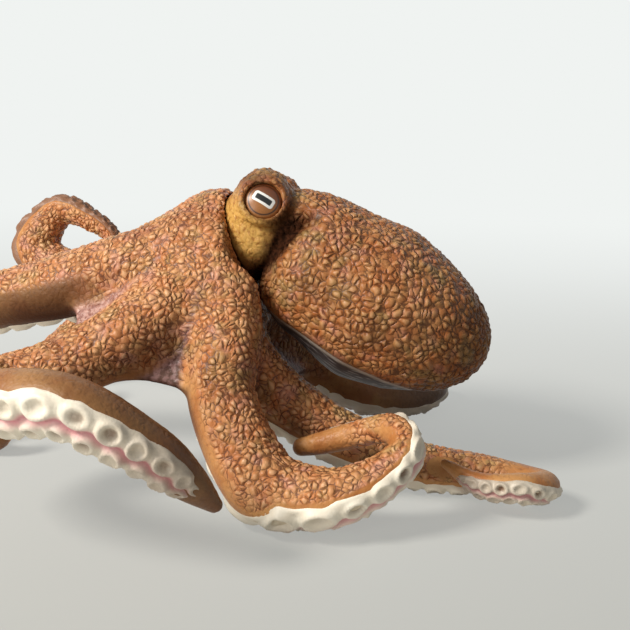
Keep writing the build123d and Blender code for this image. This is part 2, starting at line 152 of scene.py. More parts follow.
# Arms: centre line points as (x, y, z, radius), and the way that the suckers look at some points
JOIN = 2
ARMS = {
    "left_1": {
        "points": [
            (-2, 3, 56, 7.7), (-18.5, -4, 52, 8.3), (-38, -7, 46, 8.0), (-57, -7, 41, 7.0),
            (-68, -4, 35, 6.2), (-74, -2, 23, 5.2), (-73, -3, 10.5, 4.2), (-67, -5, 3.2, 3.5),
            (-60, -7, 5.5, 2.7), (-59, -8, 11, 2.0), (-63, -8.5, 12.5, 1.4),
        ],
        "facing": {
            0: (0, 0.6, -0.8), 3: (0, 0.6, -0.8), 5: (1, 0.3, 0), 7: (0, 0, 1), 9: (-1, 0, 0.2),
            10: (-0.4, 0, -1),
        },
    },
    "left_2": {
        "points": [
            (-2, -1, 52, 8.0), (-14, -17, 40, 8.4), (-30.5, -27, 31.5, 7.6), (-42, -33, 28.5, 7.1),
            (-46, -44, 29.5, 6.7), (-36, -56, 33, 6.5), (-14, -62, 36, 6.1), (1, -59, 27.5, 5.2),
            (7, -55.5, 20.5, 4.1), (11.5, -52, 14, 1.8),
        ],
        "facing": {
            0: (-0.3, 0.5, -1), 2: (0, 0.3, -1), 4: (-0.7, 0, -0.7), 6: (0, -0.93, -0.35),
            9: (0.2, -0.9, -0.3),
        },
    },
    "left_3": {
        "points": [
            (0.5, -3, 52.5, 8.0), (3.5, -16, 37, 7.8), (4.5, -23, 25, 7.6), (14, -30, 11, 8.2),
            (22, -32, 8, 7.6), (32, -33, 9, 6.4), (41, -30.5, 13, 5.0), (46, -26, 18, 4.0),
            (42, -20.5, 20.5, 3.4), (33.5, -18, 17.5, 3.0), (26, -17.5, 14.8, 2.6), (21, -17, 13.2, 2.1),
        ],
        "facing": {
            0: (-0.5, 0.8, -0.2), 2: (-0.45, 0.88, -0.1), 3: (-0.4, 0.5, -0.75), 4: (0, -0.5, -0.87),
            6: (0.55, -0.6, -0.6), 7: (1, -0.3, 0), 8: (0.7, 0.7, 0.1), 9: (0, 1, 0),
        },
    },
    "left_4": {
        "points": [
            (-2, 2, 43.5, 8.0), (2.5, -4, 31.5, 7.8), (12.5, -6, 21, 7.4), (27.5, -6, 12, 6.7),
            (45.5, -5, 6, 5.8), (60, -5, 5, 4.9), (70, -6, 4.3, 4.2), (75, -10.5, 5.5, 3.7),
            (70, -16.5, 7.5, 3.3), (61, -16.5, 7.5, 2.7), (53, -13, 10, 1.3),
        ],
        "facing": {
            0: (-0.6, 0.3, -0.7), 2: (-0.6, 0, -0.8), 4: (0, -0.2, -1), 7: (0.6, 0, -0.8),
            8: (0, -1, -0.25), 10: (0, -0.9, -0.4),
        },
    },
    "right_1": {
        "points": [
            (-6.5, 13, 53.5, 8.0), (-22, 22, 48, 8.2), (-40.5, 31, 42.5, 7.8), (-57.5, 38, 38, 7.4),
            (-69, 42, 40.5, 7.0), (-73, 44, 47, 6.5), (-65.5, 45, 56.5, 4.6), (-54, 43, 53.3, 3.2),
            (-48.5, 42, 49.5, 2.5), (-49, 41, 45.8, 2.0), (-52.5, 41, 46.5, 1.4),
        ],
        "facing": {
            0: (0, -0.3, -1), 3: (-0.3, 0, -1), 5: (-1, 0.2, 0), 6: (-0.2, 0.2, 1), 7: (0.7, 0.2, 0.7),
            8: (1, 0, 0.4), 9: (0.6, 0, -1), 10: (-0.4, 0, -1),
        },
    },
    "right_2": {
        "points": [
            (-4, 17, 51, 8.0), (-17, 32, 45.5, 8.2), (-30, 45, 38.5, 7.8), (-46, 53, 30, 7.1),
            (-63, 52.5, 18.5, 6.2), (-73, 43.5, 9, 5.1), (-70, 32, 3.9, 4.2), (-60, 29.5, 4.5, 3.3),
            (-55, 34, 8.5, 2.3), (-59, 37, 11, 1.5),
        ],
        "facing": {
            0: (0, -0.4, -1), 3: (0.4, -0.3, -1), 5: (1, 0, -0.2), 6: (0.6, 0.5, 0.6),
            7: (-0.3, 0.7, 0.5), 8: (-1, 0.2, 0), 9: (-0.5, -0.8, -0.2),
        },
    },
    "right_3": {
        "points": [
            (0, 19, 48, 8.0), (0, 33, 40, 8.0), (-1, 46, 30, 7.6), (-2, 57, 17, 7.0),
            (-7, 62, 9, 6.3), (-16, 61.5, 5.6, 5.4), (-24, 55, 4.9, 4.4), (-24, 47.5, 7, 3.4),
            (-18.5, 45.5, 10, 2.4), (-16, 49, 10.5, 1.5),
        ],
        "facing": {
            0: (-0.4, -0.7, -0.5), 3: (-0.2, -0.7, -0.6), 5: (0, 0.1, -1), 6: (-0.2, 0, -1),
            7: (-0.8, -0.3, -0.5), 8: (0.2, -0.9, 0), 9: (1, -0.3, 0.2),
        },
    },
    "right_4": {
        "points": [
            (-1, 13, 42, 8.0), (5, 24, 27, 7.6), (14, 33, 16.5, 7.0), (26, 39, 8.5, 6.5),
            (37, 43.5, 5.8, 5.6), (44, 50.5, 6.5, 4.7), (42, 60, 6.5, 3.9), (33, 64, 5, 3.1),
            (26.5, 59.5, 4.5, 2.3), (29, 54, 6, 1.5),
        ],
        "facing": {
            0: (-0.6, -0.3, -0.7), 2: (-0.5, -0.2, -0.8), 4: (0, -0.3, -1), 6: (0.6, 0.6, -0.6),
            9: (0, 0, -1),
        },
    },
}
# Arms that turn smooth towards the tip: where that starts, and how dark they get in umber tone and painted
# shade; and the same for the rest
CALM_ARMS = {"left_2": (3.4, 0.8), "right_4": (0.9, 0.95), "left_4": (4.5, 0.1)}
CALM_TIP = (8.0, 0.3)
CALM_RUN = 1.5
UMBER_AND_SHADE_RUN = (0.8, 3.5)
# Smooth flanks of some arms: the way that they look, and how much painted shade darkens them
CALM_FLANKS = {"left_1": ((0.0, -0.7, -0.7), 0.75), "left_3": ((-1.0, 0.0, -0.1), 0.0)}
ARM_RING = ["left_1", "left_2", "left_3", "left_4", "right_4", "right_3", "right_2", "right_1"]
SAMPLES_PER_SPAN = 12
FLAT_SHARE = 0.62
FLAT_ROUNDING = 1.5

# Sucker bands, as shares of the arm's radius
BAND_START = JOIN
BAND_END_SHARE = 0.97
BAND_MIDDLE = 0.40
BAND_RISE = 0.44
BAND_HALF_WIDTH = 0.90
BAND_TURN_DEG = 105.0
BAND_FOOT = 0.2
BAND_ROW = 0.09
BAND_COLUMNS = 37
GROOVE_DEPTH = 0.12
GROOVE_WIDTH = 0.10
CUP_ROW = 0.50
CUP_RADIUS = 0.47
CUP_PITCH = 1.0
RIM_HEIGHT = 0.17
DISH_DEPTH = 0.06
HOLE_DEPTH = 0.14
HOLE_SHARE = 0.25
LUMP_HEIGHT = 0.03
LUMP_PITCH = 4
GROOVE_WANDER = -0.10
PINK_WIDTH = 0.16
CUP_SIZES = (0.86, 1.08)
CUP_SHARES = (0.6, 1.0)
CUP_REACH = 1.6
RIM_PLACE = 0.74
RIM_WIDTH = 0.22
# Darkening of the suckers: brown wash and painted shade in the holes, painted shade in the dishes, brown wash
# at the band's tip
HOLE_WASH_AND_SHADE = 1.0
DISH_SHADE = 0.22
TIP_WASH = 0.6
FOOT_HALF_WIDTH = 0.7
TAPER_LENGTH = 1.5
TAPER_LEAST = 0.04
# Arms whose band starts as a plain wall, and where its suckers begin
PLAIN_WALLS = {"left_2": 5.3}
# Arms whose suckers are painted over with brown as painted shade, and how much
SHADED_SUCKERS = {"right_1": 0.95, "right_4": 0.4}
SEED = 7

# Relief of the skin
CELL_SIZE = 1.55
CELL_DEPTH = 0.46
BODY_CELL_SHARE = 1.1
WARP_SIZE = 6.5
WARP_REACH = 1.3
RIPPLE_SIZE = 1.7
RIPPLE_REACH = 0.45
COBBLE_LEVEL = 0.45
COBBLE_DOME = 1.1
COBBLE_LEAST = 0.55
COBBLE_SPREAD = 0.45
MERGE_SIZE = 1.6
MERGE_REACH = 0.07
RELIEF_SLOPE = 0.36
CREST_SLOPE = 0.30
BUMP_SLOPE = 0.26
BUMP_DEPTH = 0.42
GRAIN_SIZE = 0.55
GRAIN_SHARE = 0.25
ROUGH_LEAST = 0.27
ROUGH_SPREAD = 0.22
SKIN_GLOSS = 0.35
BORDER_WANDER = 0.34

# Ranges over which shares rise from 0 to 1: on the points in millimetres, arm points, arm radii or slopes
RANGES = {
    "fold_start": (-1, 1), "fold_end": (9, 5), "fold_top": (8, 2), "neck_fold": (15.0, 10.0),
    "web_out": (1.06, 1.3), "web_end": (JOIN + 0.6, JOIN - 0.2), "web_away": (21, 27), "lilac": (22, 12),
    "under_near": (60, 40), "under_look": (0.15, 0.5), "shady_look": (0.25, 0.85), "shady_end": (3.4, 2.4),
    "bare": (0.42, 0.05), "bare_start": (0.6, 1.6), "flank_look": (0.1, 0.6), "flank_start": (1.0, 2.0),
    "cream_start": (JOIN - 0.3, JOIN + 0.2), "cream_end": (0.5, 1.3), "cheek": (11, 6), "off_eye": (4.0, 5.5),
    "calm_cheek": (12, 8), "calm_eye": (9, 6.5), "turret": (15, 11), "turret_top": (4, 9),
    "turret_rear": (0.5, 6), "low": (2.5, 0.3), "rear": (38, 56), "front": (9, 2), "front_low": (0, -8),
    "cup_out": (HEAD_RADIUS + 0.8, HEAD_RADIUS + 0.2), "cup_along": (-RIM_SETBACK + 0.3, -RIM_SETBACK - 0.5),
    "belly_rim": (-1.2, -0.2), "dish": (0.66, 0.25), "wall_end": (-0.3, 0.3), "tip": (0.75, 1.0),
}
# The same in materials, over noise, heights and stored shares, and on the floor in metres
RANGES |= {
    "merge": (0.56, 0.40), "cloud": (0.35, 0.65), "patch": (0.50, 0.70), "crest": (0.45, 0.9),
    "groove": (0.12, 0.01), "gloss": (1.0, -0.5), "speck": (0.55, 0.75), "bumpy": (0.1, 0.6),
    "wrinkle": (0.40, 0.62), "cream_edge": (0.70, 0.74), "gold": (0.42, 0.72), "shade": (0.3, 0.7),
    "streak": (0.48, 0.72), "wash": (-0.5, 0.6), "iris": (-1.5, 2.6), "ring_in": (0.76, 0.81),
    "ring_out": (0.88, 0.83), "floor_tone": (-0.20, 0.30), "floor_glow": (0.0, 0.45),
}
# Sizes of the coloured patches on the skin, and the greatest shares of its colours
PATCH_SIZES = {"pink": 4.3, "olive": 5.7, "deep": 11.0}
WARM_SIZE = 3.3
PAINT_SHARES = {"patch": 0.65, "cell": 0.25, "crest": 0.55, "groove": 0.85}
# How much the bumps give way, and how strong the webs, painted shades and golden cheeks get
WEB_SMOOTH = 0.5
UNDER_SMOOTH = 0.8
CALM_SMOOTH = 0.85
BODY_SMOOTH = 0.7
WEB_SHARE = 0.9
UNDER_SHADE = 0.8
SHADY_SHADE = 0.6
GOLD_SHARE = 0.85
BELLY_RIM_SHARE = 0.8
BODY_SHADES = {"low": 0.5, "rear": 0.5, "crest": 0.75, "front": 0.8, "fold": 0.8, "cup": 1.0}

# Camera and light
CAMERA_AZIMUTH_DEG = 12.0
CAMERA_ELEVATION_DEG = 14.0
CAMERA_DISTANCE = 0.235
CAMERA_LENS = 55.0
CAMERA_TARGET = Vector((0.019, 0.007, 0.038))
CAMERA_SENSOR = 36.0
CAMERA_NEAR = 0.01
WORLD_LIGHT = 0.15
FLOOR_HALF = 3.0
FLOOR_GLOW = 0.6
FLOOR_GLOW_MORE = 0.4
# Lamps: place, size, power and tint
LAMPS = {
    "key": ((-0.36, -0.34, 0.48), 0.16, 4.8, (1.0, 0.96, 0.90)),
    "fill": ((-0.26, -0.56, 0.16), 0.25, 1.0, (1.0, 0.98, 0.95)),
}


# Small maths

def unit(vector):
    """Vectors scaled to length one."""
    return vector / np.linalg.norm(vector, axis=-1, keepdims=True)


def ramp(low, high, value):
    """Smooth rise from 0 at low to 1 at high."""
    t = np.clip((value - low) / (high - low), 0, 1)
    return t * t * (3 - 2 * t)


def graded(name, value):
    """Smooth rise from 0 to 1 over a named range."""
    return ramp(*RANGES[name], value)


def single(vector):
    """Numbers in single precision, as on the grids."""
    return np.asarray(vector, np.float32)


def soft_min(a, b, blend):
    """Smaller of two distances, rounded over the blend where they are close."""
    near = np.maximum(blend - np.abs(a - b), 0) / blend
    return np.minimum(a, b) - near * near * blend / 4


def soft_max(a, b, blend):
    """Larger of two distances, rounded over the blend."""
    return -soft_min(-a, -b, blend)


NECK_AXIS = np.array([math.cos(math.radians(NECK_RISE_DEG)), 0, math.sin(math.radians(NECK_RISE_DEG))])
MANTLE_AXIS = unit(MANTLE_END - MANTLE_START)
MANTLE_UP = np.array([-MANTLE_AXIS[2], 0.0, MANTLE_AXIS[0]])


# Arm centre lines

def smooth_line(points, places):
    """Points of the smooth curve through a list of points, at places counted in points."""
    points = np.array(points, float)
    padded = np.vstack([2 * points[0] - points[1], points, 2 * points[-1] - points[-2]])
    span = np.minimum(places.astype(int), len(points) - 2)
    t = (places - span)[:, None]
    a, b, c, d = (padded[span + i] for i in range(4))
    return 0.5 * (2 * b + (c - a) * t + (2 * a - 5 * b + 4 * c - d) * t**2 + (3 * b - a - 3 * c + d) * t**3)


class ArmLine:
    """Centre line of an arm: places, centres, radii, and directions along, towards the suckers and across."""

    def __init__(self, arm):
        last = len(arm["points"]) - 1
        self.place = np.linspace(0, last, last * SAMPLES_PER_SPAN + 1)
        values = smooth_line(arm["points"], self.place)
        self.centre = values[:, :3]
        self.radius = values[:, 3]
        self.along = unit(np.gradient(self.centre, axis=0))
        known = sorted(arm["facing"])
        looks = np.array([arm["facing"][k] for k in known], float)
        look = np.stack([np.interp(self.place, known, looks[:, i]) for i in range(3)], -1)
        look -= self.along * np.sum(look * self.along, -1, keepdims=True)
        self.look = unit(look)
        self.across = np.cross(self.along, self.look)
        steps = np.linalg.norm(np.diff(self.centre, axis=0), axis=-1)
        self.length = np.concatenate([[0], np.cumsum(steps)])


LINES = {name: ArmLine(arm) for name, arm in ARMS.items()}


# Distance fields

class Field:
    """Signed distances on a grid, negative inside."""

    def __init__(self, low, high):
        self.low = np.array(low, float)
        counts = np.ceil((np.array(high) - self.low) / STEP).astype(int) + 1
        self.values = np.full(counts, FAR, np.float32)

    def window(self, low, high):
        """Index ranges of a box, and its grid points."""
        first = np.maximum(np.floor((low - self.low) / STEP).astype(int), 0)
        last = np.minimum(np.ceil((high - self.low) / STEP).astype(int) + 1, self.values.shape)
        axes = [self.low[i] + STEP * np.arange(first[i], last[i]) for i in range(3)]
        points = np.stack(np.meshgrid(*axes, indexing="ij"), -1).astype(np.float32)
        return tuple(slice(a, b) for a, b in zip(first, last)), points

    def everywhere(self):
        """All grid points."""
        high = self.low + STEP * (np.array(self.values.shape) - 1)
        return self.window(self.low, high)[1]

    def mesh_data(self):
        """Points and four-cornered faces of the surface."""
        grid = openvdb.FloatGrid(FAR)
        grid.copyFromArray(self.values)
        points, faces = grid.convertToQuads(isovalue=0.0)
        return points * STEP + self.low, faces


def ball_distance(points, centre, radius):
    """Distance to a ball."""
    return np.linalg.norm(points - single(centre), axis=-1) - radius


def rod_distance(points, start, end, start_radius, end_radius):
    """Distance to a tapered rod with round ends, and the way to each point from the rod's middle line."""
    start = single(start)
    run = single(end) - start
    offset = points - start
    share = np.clip(offset @ run / (run @ run), 0, 1)
    gap = offset - share[..., None] * run
    return np.linalg.norm(gap, axis=-1) - (start_radius + (end_radius - start_radius) * share), gap


def arm_field(field, line):
    """Distances to one arm: tapered rods, cut flat on the sucker side."""
    reach = line.radius.max() + BLEND_NEAR + STEP
    span, points = field.window(line.centre.min(0) - reach, line.centre.max(0) + reach)
    low = points[0, 0, 0]
    distances = np.full(points.shape[:-1], FAR, np.float32)
    for i in range(len(line.place) - 1):
        pair = slice(i, i + 2)
        margin = line.radius[pair].max() + (BLEND_NEAR + 2 if line.place[i] < JOIN + 1 else 3 * STEP)
        first = np.maximum(((line.centre[pair].min(0) - margin - low) / STEP).astype(int), 0)
        last = ((line.centre[pair].max(0) + margin - low) / STEP).astype(int) + 2
        part = tuple(slice(a, b) for a, b in zip(first, last))
        near, gap = rod_distance(points[part], *line.centre[pair], *line.radius[pair])
        look = unit(line.look[pair].mean(0)).astype(np.float32)
        flat = gap @ look - FLAT_SHARE * line.radius[pair].mean()
        near = soft_max(near, flat, FLAT_ROUNDING)
        distances[part] = np.minimum(distances[part], near)
    return span, points, distances


def web_field(field, first, second):
    """Adds the skin web between two arms: rows of thin rods, with the free edge drawn in."""
    columns = np.linspace(0, 1, WEB_COLUMNS + 1)
    drawn = WEB_MIDDLE_SHARE + (WEB_END_SHARE - WEB_MIDDLE_SHARE) * (2 * columns - 1) ** 2
    for row in np.linspace(0.1, 1, WEB_ROWS):
        places = JOIN * row * drawn
        sides = [smooth_line(ARMS[name]["points"], places)[:, :3] for name in (first, second)]
        line = sides[0] * (1 - columns[:, None]) + sides[1] * columns[:, None]
        for start, end in zip(line, line[1:]):
            reach = WEB_RADIUS + BLEND_NEAR / 2
            span, points = field.window(np.minimum(start, end) - reach, np.maximum(start, end) + reach)
            near = rod_distance(points, start, end, WEB_RADIUS, WEB_RADIUS)[0]
            field.values[span] = np.minimum(field.values[span], near)


def turned(point, degrees):
    """A point turned about the neck axis."""
    angle = math.radians(degrees)
    offset = point - HEAD_CENTRE
    along = NECK_AXIS * (offset @ NECK_AXIS)
    level = (offset - along) * math.cos(angle)
    return HEAD_CENTRE + along + level + np.cross(NECK_AXIS, offset) * math.sin(angle)


def neck_room(points):
    """Distance to the room in the crown for the head's ball and its swing."""
    offset = points - single(HEAD_CENTRE)
    ball = np.linalg.norm(offset, axis=-1) - HEAD_RADIUS - CUP_GAP
    along = offset @ single(NECK_AXIS)
    out = np.linalg.norm(offset - along[..., None] * single(NECK_AXIS), axis=-1)
    swing = np.maximum(-RIM_SETBACK - along, out - RIM_CLEAR_RADIUS)
    room = np.minimum(ball, swing)
    place, height, radius = MANTLE_BALLS[0]
    front = MANTLE_START + MANTLE_AXIS * place + MANTLE_UP * height
    for turn in (-NECK_SWING_DEG, 0, NECK_SWING_DEG):
        room = np.minimum(room, ball_distance(points, turned(front, turn), radius + MANTLE_SWING_GAP))
    return room


def crown_field():
    """Arms, webs and crown as one skin."""
    field = Field(*CROWN_BOX)
    for first, second in zip(ARM_RING, ARM_RING[1:] + ARM_RING[:1]):
        web_field(field, first, second)
    for name in ARM_RING:
        span, points, distances = arm_field(field, LINES[name])
        away = np.linalg.norm(points - single(CROWN_CENTRE), axis=-1)
        blend = BLEND_NEAR + (BLEND_FAR - BLEND_NEAR) * ramp(*BLEND_RANGE, away)
        field.values[span] = soft_min(field.values[span], distances, blend)
    reach = CROWN_RADIUS + CROWN_BLEND
    span, points = field.window(CROWN_CENTRE - reach, CROWN_CENTRE + reach)
    crown = ball_distance(points, CROWN_CENTRE, CROWN_RADIUS)
    field.values[span] = soft_min(field.values[span], crown, CROWN_BLEND)
    ridge = ball_distance(points, COLLAR_RIDGE_CENTRE, COLLAR_RIDGE_RADIUS)
    field.values[span] = soft_min(field.values[span], ridge, CROWN_BLEND / 2)
    reach = RIM_CLEAR_RADIUS * 2
    span, points = field.window(HEAD_CENTRE - reach, HEAD_CENTRE + reach)
    field.values[span] = soft_max(field.values[span], -neck_room(points), RIM_ROUNDING)
    height = field.low[2] + STEP * np.arange(field.values.shape[2])
    field.values = np.maximum(field.values, -height.astype(np.float32))
    return field


def sided(vector, side):
    """A vector given for the +Y side of an upright head, on the side asked for of the tilted head."""
    lean = math.radians(HEAD_TILT_DEG)
    x, y, z = vector * np.array([1.0, side, 1.0])
    return np.array([x, y * math.cos(lean) + z * math.sin(lean), z * math.cos(lean) - y * math.sin(lean)])


def turret_distance(points, side):
    """Distance to an eye turret: a ball drawn out upwards and leaning back, cut flat near the collar."""
    lean = math.radians(TURRET_LEAN_DEG)
    up = np.array([math.sin(lean), 0, math.cos(lean)], np.float32)
    offset = points - (HEAD_CENTRE + sided(TURRET_OFFSET, side)).astype(np.float32)
    rise = offset @ up
    out = np.linalg.norm(offset - rise[..., None] * up, axis=-1)
    tall = TURRET_RADIUS + TURRET_STRETCH
    size = np.sqrt((rise / tall) ** 2 + (out / TURRET_RADIUS) ** 2)
    slope = np.sqrt((rise / tall**2) ** 2 + (out / TURRET_RADIUS**2) ** 2)
    behind = CUP_GAP - RIM_SETBACK - (points - single(HEAD_CENTRE)) @ single(NECK_AXIS)
    return soft_max(size * (size - 1) / np.maximum(slope, LEAST_SLOPE), behind, TURRET_CUT_ROUNDING)


def eye_frame(side):
    """Centre of an eye's face, the way it looks, and its level and upright directions."""
    look = unit(sided(EYE_FACING, side))
    centre = HEAD_CENTRE + sided(TURRET_OFFSET, side) + look * (EYE_DEPTH - EYE_DOME)
    level = unit(np.array([1.0, 0, 0]) - look * look[0])
    return centre, look, level, np.cross(look, level)


def eye_socket(points, distances, side):
    """Cuts the eye's pocket into the skin, with a raised lid round it and a groove inside the lid."""
    centre, look = (v.astype(np.float32) for v in eye_frame(side)[:2])
    offset = points - centre
    depth = offset @ look
    out = np.linalg.norm(offset - depth[..., None] * look, axis=-1)
    beyond = out - EYE_RADIUS - EYE_LID_RADIUS * EYE_LID_SHARE
    lid = np.sqrt(beyond**2 + (depth + EYE_LID_DROP) ** 2) - EYE_LID_RADIUS
    distances = soft_min(distances, lid, EYE_LID_BLEND)
    pocket = np.maximum(out - EYE_RADIUS - EYE_POCKET_GAP, -depth - EYE_SINK)
    return soft_max(distances, -pocket, EYE_POCKET_ROUNDING)


def mantle_distance(points, inset):
    """Distance to the mantle's egg: balls along its axis, joined smoothly."""
    along = [MANTLE_START + MANTLE_AXIS * place + MANTLE_UP * height for place, height, _ in MANTLE_BALLS]
    radii = [radius - inset for *_, radius in MANTLE_BALLS]
    distances = np.full(points.shape[:-1], FAR, np.float32)
    for i in range(len(along) - 1):
        near = rod_distance(points, along[i], along[i + 1], radii[i], radii[i + 1])[0]
        distances = soft_min(distances, near, MANTLE_BLEND)
    return distances


def mantle_frame(points):
    """Distances along the mantle's axis and above it, as precise as the points."""
    start, axis, up = (vector.astype(points.dtype) for vector in (MANTLE_START, MANTLE_AXIS, MANTLE_UP))
    return (points - start) @ axis, (points - start) @ up


def belly_height(points):
    """Height over the parting plane between the mantle and its underside."""
    return (points - single(MANTLE_START - MANTLE_UP * BELLY_DROP)) @ single(MANTLE_UP)


def fold_height(points):
    """Short parallel folds on the mantle's sides, just behind the head."""
    along, above = mantle_frame(points)
    share = graded("fold_start", along) * graded("fold_end", along) * graded("fold_top", above)
    return FOLD_DEPTH * share * np.sin(2 * np.pi * (along + FOLD_SLANT * above) / FOLD_PITCH)


def head_distance(points):
    """Distance to the head and its turrets."""
    head = rod_distance(points, HEAD_CENTRE, NAPE_CENTRE, HEAD_RADIUS, NAPE_RADIUS)[0]
    for side in (-1, 1):
        head = soft_min(head, turret_distance(points, side), TURRET_BLEND)
    return head


def neck_fold(head, mantle):
    """Share of the deep fold where the head goes into the mantle."""
    return np.exp(-(((head - mantle) / NECK_FOLD_WIDTH) ** 2))


def body_field():
    """Head, turrets and upper mantle as one skin."""
    field = Field(*BODY_BOX)
    points = field.everywhere()
    head = head_distance(points)
    mantle = soft_max(mantle_distance(points, 0) - fold_height(points), -belly_height(points), LIP_ROUNDING)
    sides = graded("neck_fold", mantle_frame(points)[1])
    body = soft_min(head, mantle, NECK_BLEND + NECK_BLEND_MORE * (1 - sides))
    body = body + NECK_FOLD_DEPTH * sides * neck_fold(head, mantle)
    for side in (-1, 1):
        body = eye_socket(points, body, side)
    field.values = body.astype(np.float32)
    return field


def belly_field():
    """Underside of the mantle, a little smaller than the skin above it."""
    field = Field(*BELLY_BOX)
    points = field.everywhere()
    belly = mantle_distance(points, BELLY_STEP)
    field.values = np.maximum(belly, belly_height(points) - LIP_ROUNDING / 2).astype(np.float32)
    return field


# Meshes

def new_piece(name, points, faces, body, nodes, material):
    """A mesh piece in metres that rides on a body and stands for CAD nodes."""
    mesh = bpy.data.meshes.new(name)
    mesh.from_pydata((np.asarray(points) * MM).tolist(), [], [list(map(int, face)) for face in faces])
    mesh.validate()
    mesh.shade_smooth()
    mesh.materials.append(material)
    piece = bpy.data.objects.new(name, mesh)
    bpy.context.scene.collection.objects.link(piece)
    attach(piece, body)
    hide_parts(*nodes)
    return piece


def set_values(mesh, name, values):
    """Stores a number or a vector for each point."""
    kind = "FLOAT_VECTOR" if np.ndim(values) == 2 else "FLOAT"
    field = "vector" if kind == "FLOAT_VECTOR" else "value"
    attribute = mesh.attributes.new(name, kind, "POINT")
    attribute.data.foreach_set(field, np.ascontiguousarray(values, np.float32).ravel())


def point_normals(mesh):
    """Normals of a mesh's points."""
    normals = np.zeros(len(mesh.vertices) * 3, np.float32)
    mesh.vertex_normals.foreach_get("vector", normals)
    return normals.reshape(-1, 3)


# Node graphs

class Graph:
    """Adds nodes to a shader or geometry tree and links them."""

    def __init__(self, tree):
        self.tree = tree

    def feed(self, socket, value):
        """Links an output to an input, or sets the input's own value."""
        if isinstance(value, bpy.types.NodeSocket):
            self.tree.links.new(value, socket)
        else:
            socket.default_value = value

    def add(self, kind, inputs, output=0, **settings):
        """A node with its settings and inputs; gives one of its outputs."""
        node = self.tree.nodes.new(kind)
        for key, value in settings.items():
            setattr(node, key, value)
        for key, value in inputs.items():
            self.feed(node.inputs[key], value)
        return node.outputs[output]

    def math(self, operation, first, second=0.0):
        """Arithmetic on numbers."""
        return self.add("ShaderNodeMath", {0: first, 1: second}, operation=operation)

    def vector(self, operation, first, second):
        """Arithmetic on vectors."""
        return self.add("ShaderNodeVectorMath", {0: first, 1: second}, operation=operation)

    def scaled(self, vector, scale):
        """A vector times a number."""
        return self.add("ShaderNodeVectorMath", {0: vector, "Scale": scale}, operation="SCALE")

    def ramp(self, value, low, high):
        """Smooth rise from 0 at low to 1 at high."""
        inputs = {"Value": value, "From Min": low, "From Max": high}
        return self.add("ShaderNodeMapRange", inputs, interpolation_type="SMOOTHSTEP")

    def graded(self, name, value):
        """Smooth rise from 0 to 1 over a named range."""
        return self.ramp(value, *RANGES[name])

    def line(self, value, slope, base):
        """A number times a slope, plus a base."""
        return self.math("ADD", self.math("MULTIPLY", value, slope), base)

    def mix(self, share, first, second):
        """Two colours mixed by a share."""
        return self.add("ShaderNodeMix", {0: share, 6: first, 7: second}, 2, data_type="RGBA")

    def noise(self, place, size, detail=2.0, output="Fac"):
        """Cloudy noise with features of a size."""
        return self.add("ShaderNodeTexNoise", {"Vector": place, "Scale": 1 / size, "Detail": detail}, output)

    def cells(self, place, size, feature, output):
        """Cells of a size."""
        inputs = {"Vector": place, "Scale": 1 / size}
        return self.add("ShaderNodeTexVoronoi", inputs, output, feature=feature)


def channel(graph, tint, index):
    """One of the three numbers in a colour."""
    splitter = "FunctionNodeSeparateColor" if graph.tree.type == "GEOMETRY" else "ShaderNodeSeparateColor"
    return graph.add(splitter, {"Color": tint}, index)


def drifted(graph, place, size, reach):
    """Places moved about by soft noise."""
    drift = graph.noise(place, size, 1.0, "Color")
    drift = graph.scaled(graph.vector("SUBTRACT", drift, (0.5, 0.5, 0.5)), 2 * reach)
    return graph.vector("ADD", place, drift)


def cobbles(graph, place, size):
    """Cobbled skin: each point's distance from its cobble's edge and middle, and its cobble's colour."""
    moved = drifted(graph, place, WARP_SIZE, WARP_REACH)
    moved = drifted(graph, moved, RIPPLE_SIZE, RIPPLE_REACH)
    edge = graph.cells(moved, size, "DISTANCE_TO_EDGE", "Distance")
    merged = graph.graded("merge", graph.noise(place, MERGE_SIZE, 1.0))
    edge = graph.line(merged, MERGE_REACH, edge)
    middle = graph.cells(moved, size, "F1", "Distance")
    tint = graph.cells(moved, size, "F1", "Color")
    return edge, middle, tint


def cobble_height(graph, cobble, slope):
    """Height of a point in its cobble, from 0 in the groove to 1 on top, with walls of a slope."""
    edge, middle, tint = cobble
    wall = graph.ramp(edge, 0.0, slope)
    dome = graph.line(graph.math("MULTIPLY", middle, middle), -COBBLE_DOME, 1.0)
    tall = graph.line(channel(graph, tint, 2), COBBLE_SPREAD, COBBLE_LEAST)
    return graph.math("MULTIPLY", graph.math("MULTIPLY", wall, dome), tall)


def raise_relief(mesh, size):
    """A copy of a mesh with its skin pushed out into cobbles, as much as its points' bumps value says."""
    tree = bpy.data.node_groups.new("relief", "GeometryNodeTree")
    tree.interface.new_socket("Geometry", in_out="INPUT", socket_type="NodeSocketGeometry")
    tree.interface.new_socket("Geometry", in_out="OUTPUT", socket_type="NodeSocketGeometry")
    graph = Graph(tree)
    source = tree.nodes.new("NodeGroupInput").outputs[0]
    place = graph.add("GeometryNodeInputNamedAttribute", {"Name": "rest"}, data_type="FLOAT_VECTOR")
    bumps = graph.add("GeometryNodeInputNamedAttribute", {"Name": "bumps"}, data_type="FLOAT")
    height = cobble_height(graph, cobbles(graph, place, size), RELIEF_SLOPE)
    lift = graph.math("MULTIPLY", graph.math("SUBTRACT", height, COBBLE_LEVEL), CELL_DEPTH * MM)
    lift = graph.math("MULTIPLY", lift, bumps)
    push = graph.scaled(graph.add("GeometryNodeInputNormal", {}), lift)
    moved = graph.add("GeometryNodeSetPosition", {"Geometry": source, "Offset": push})
    graph.feed(tree.nodes.new("NodeGroupOutput").inputs[0], moved)
    carrier = place_object("relief", mesh)
    carrier.modifiers.new("relief", "NODES").node_group = tree
    shaped = carrier.evaluated_get(bpy.context.evaluated_depsgraph_get())
    result = bpy.data.meshes.new_from_object(shaped)
    bpy.data.objects.remove(carrier)
    bpy.data.node_groups.remove(tree)
    return result


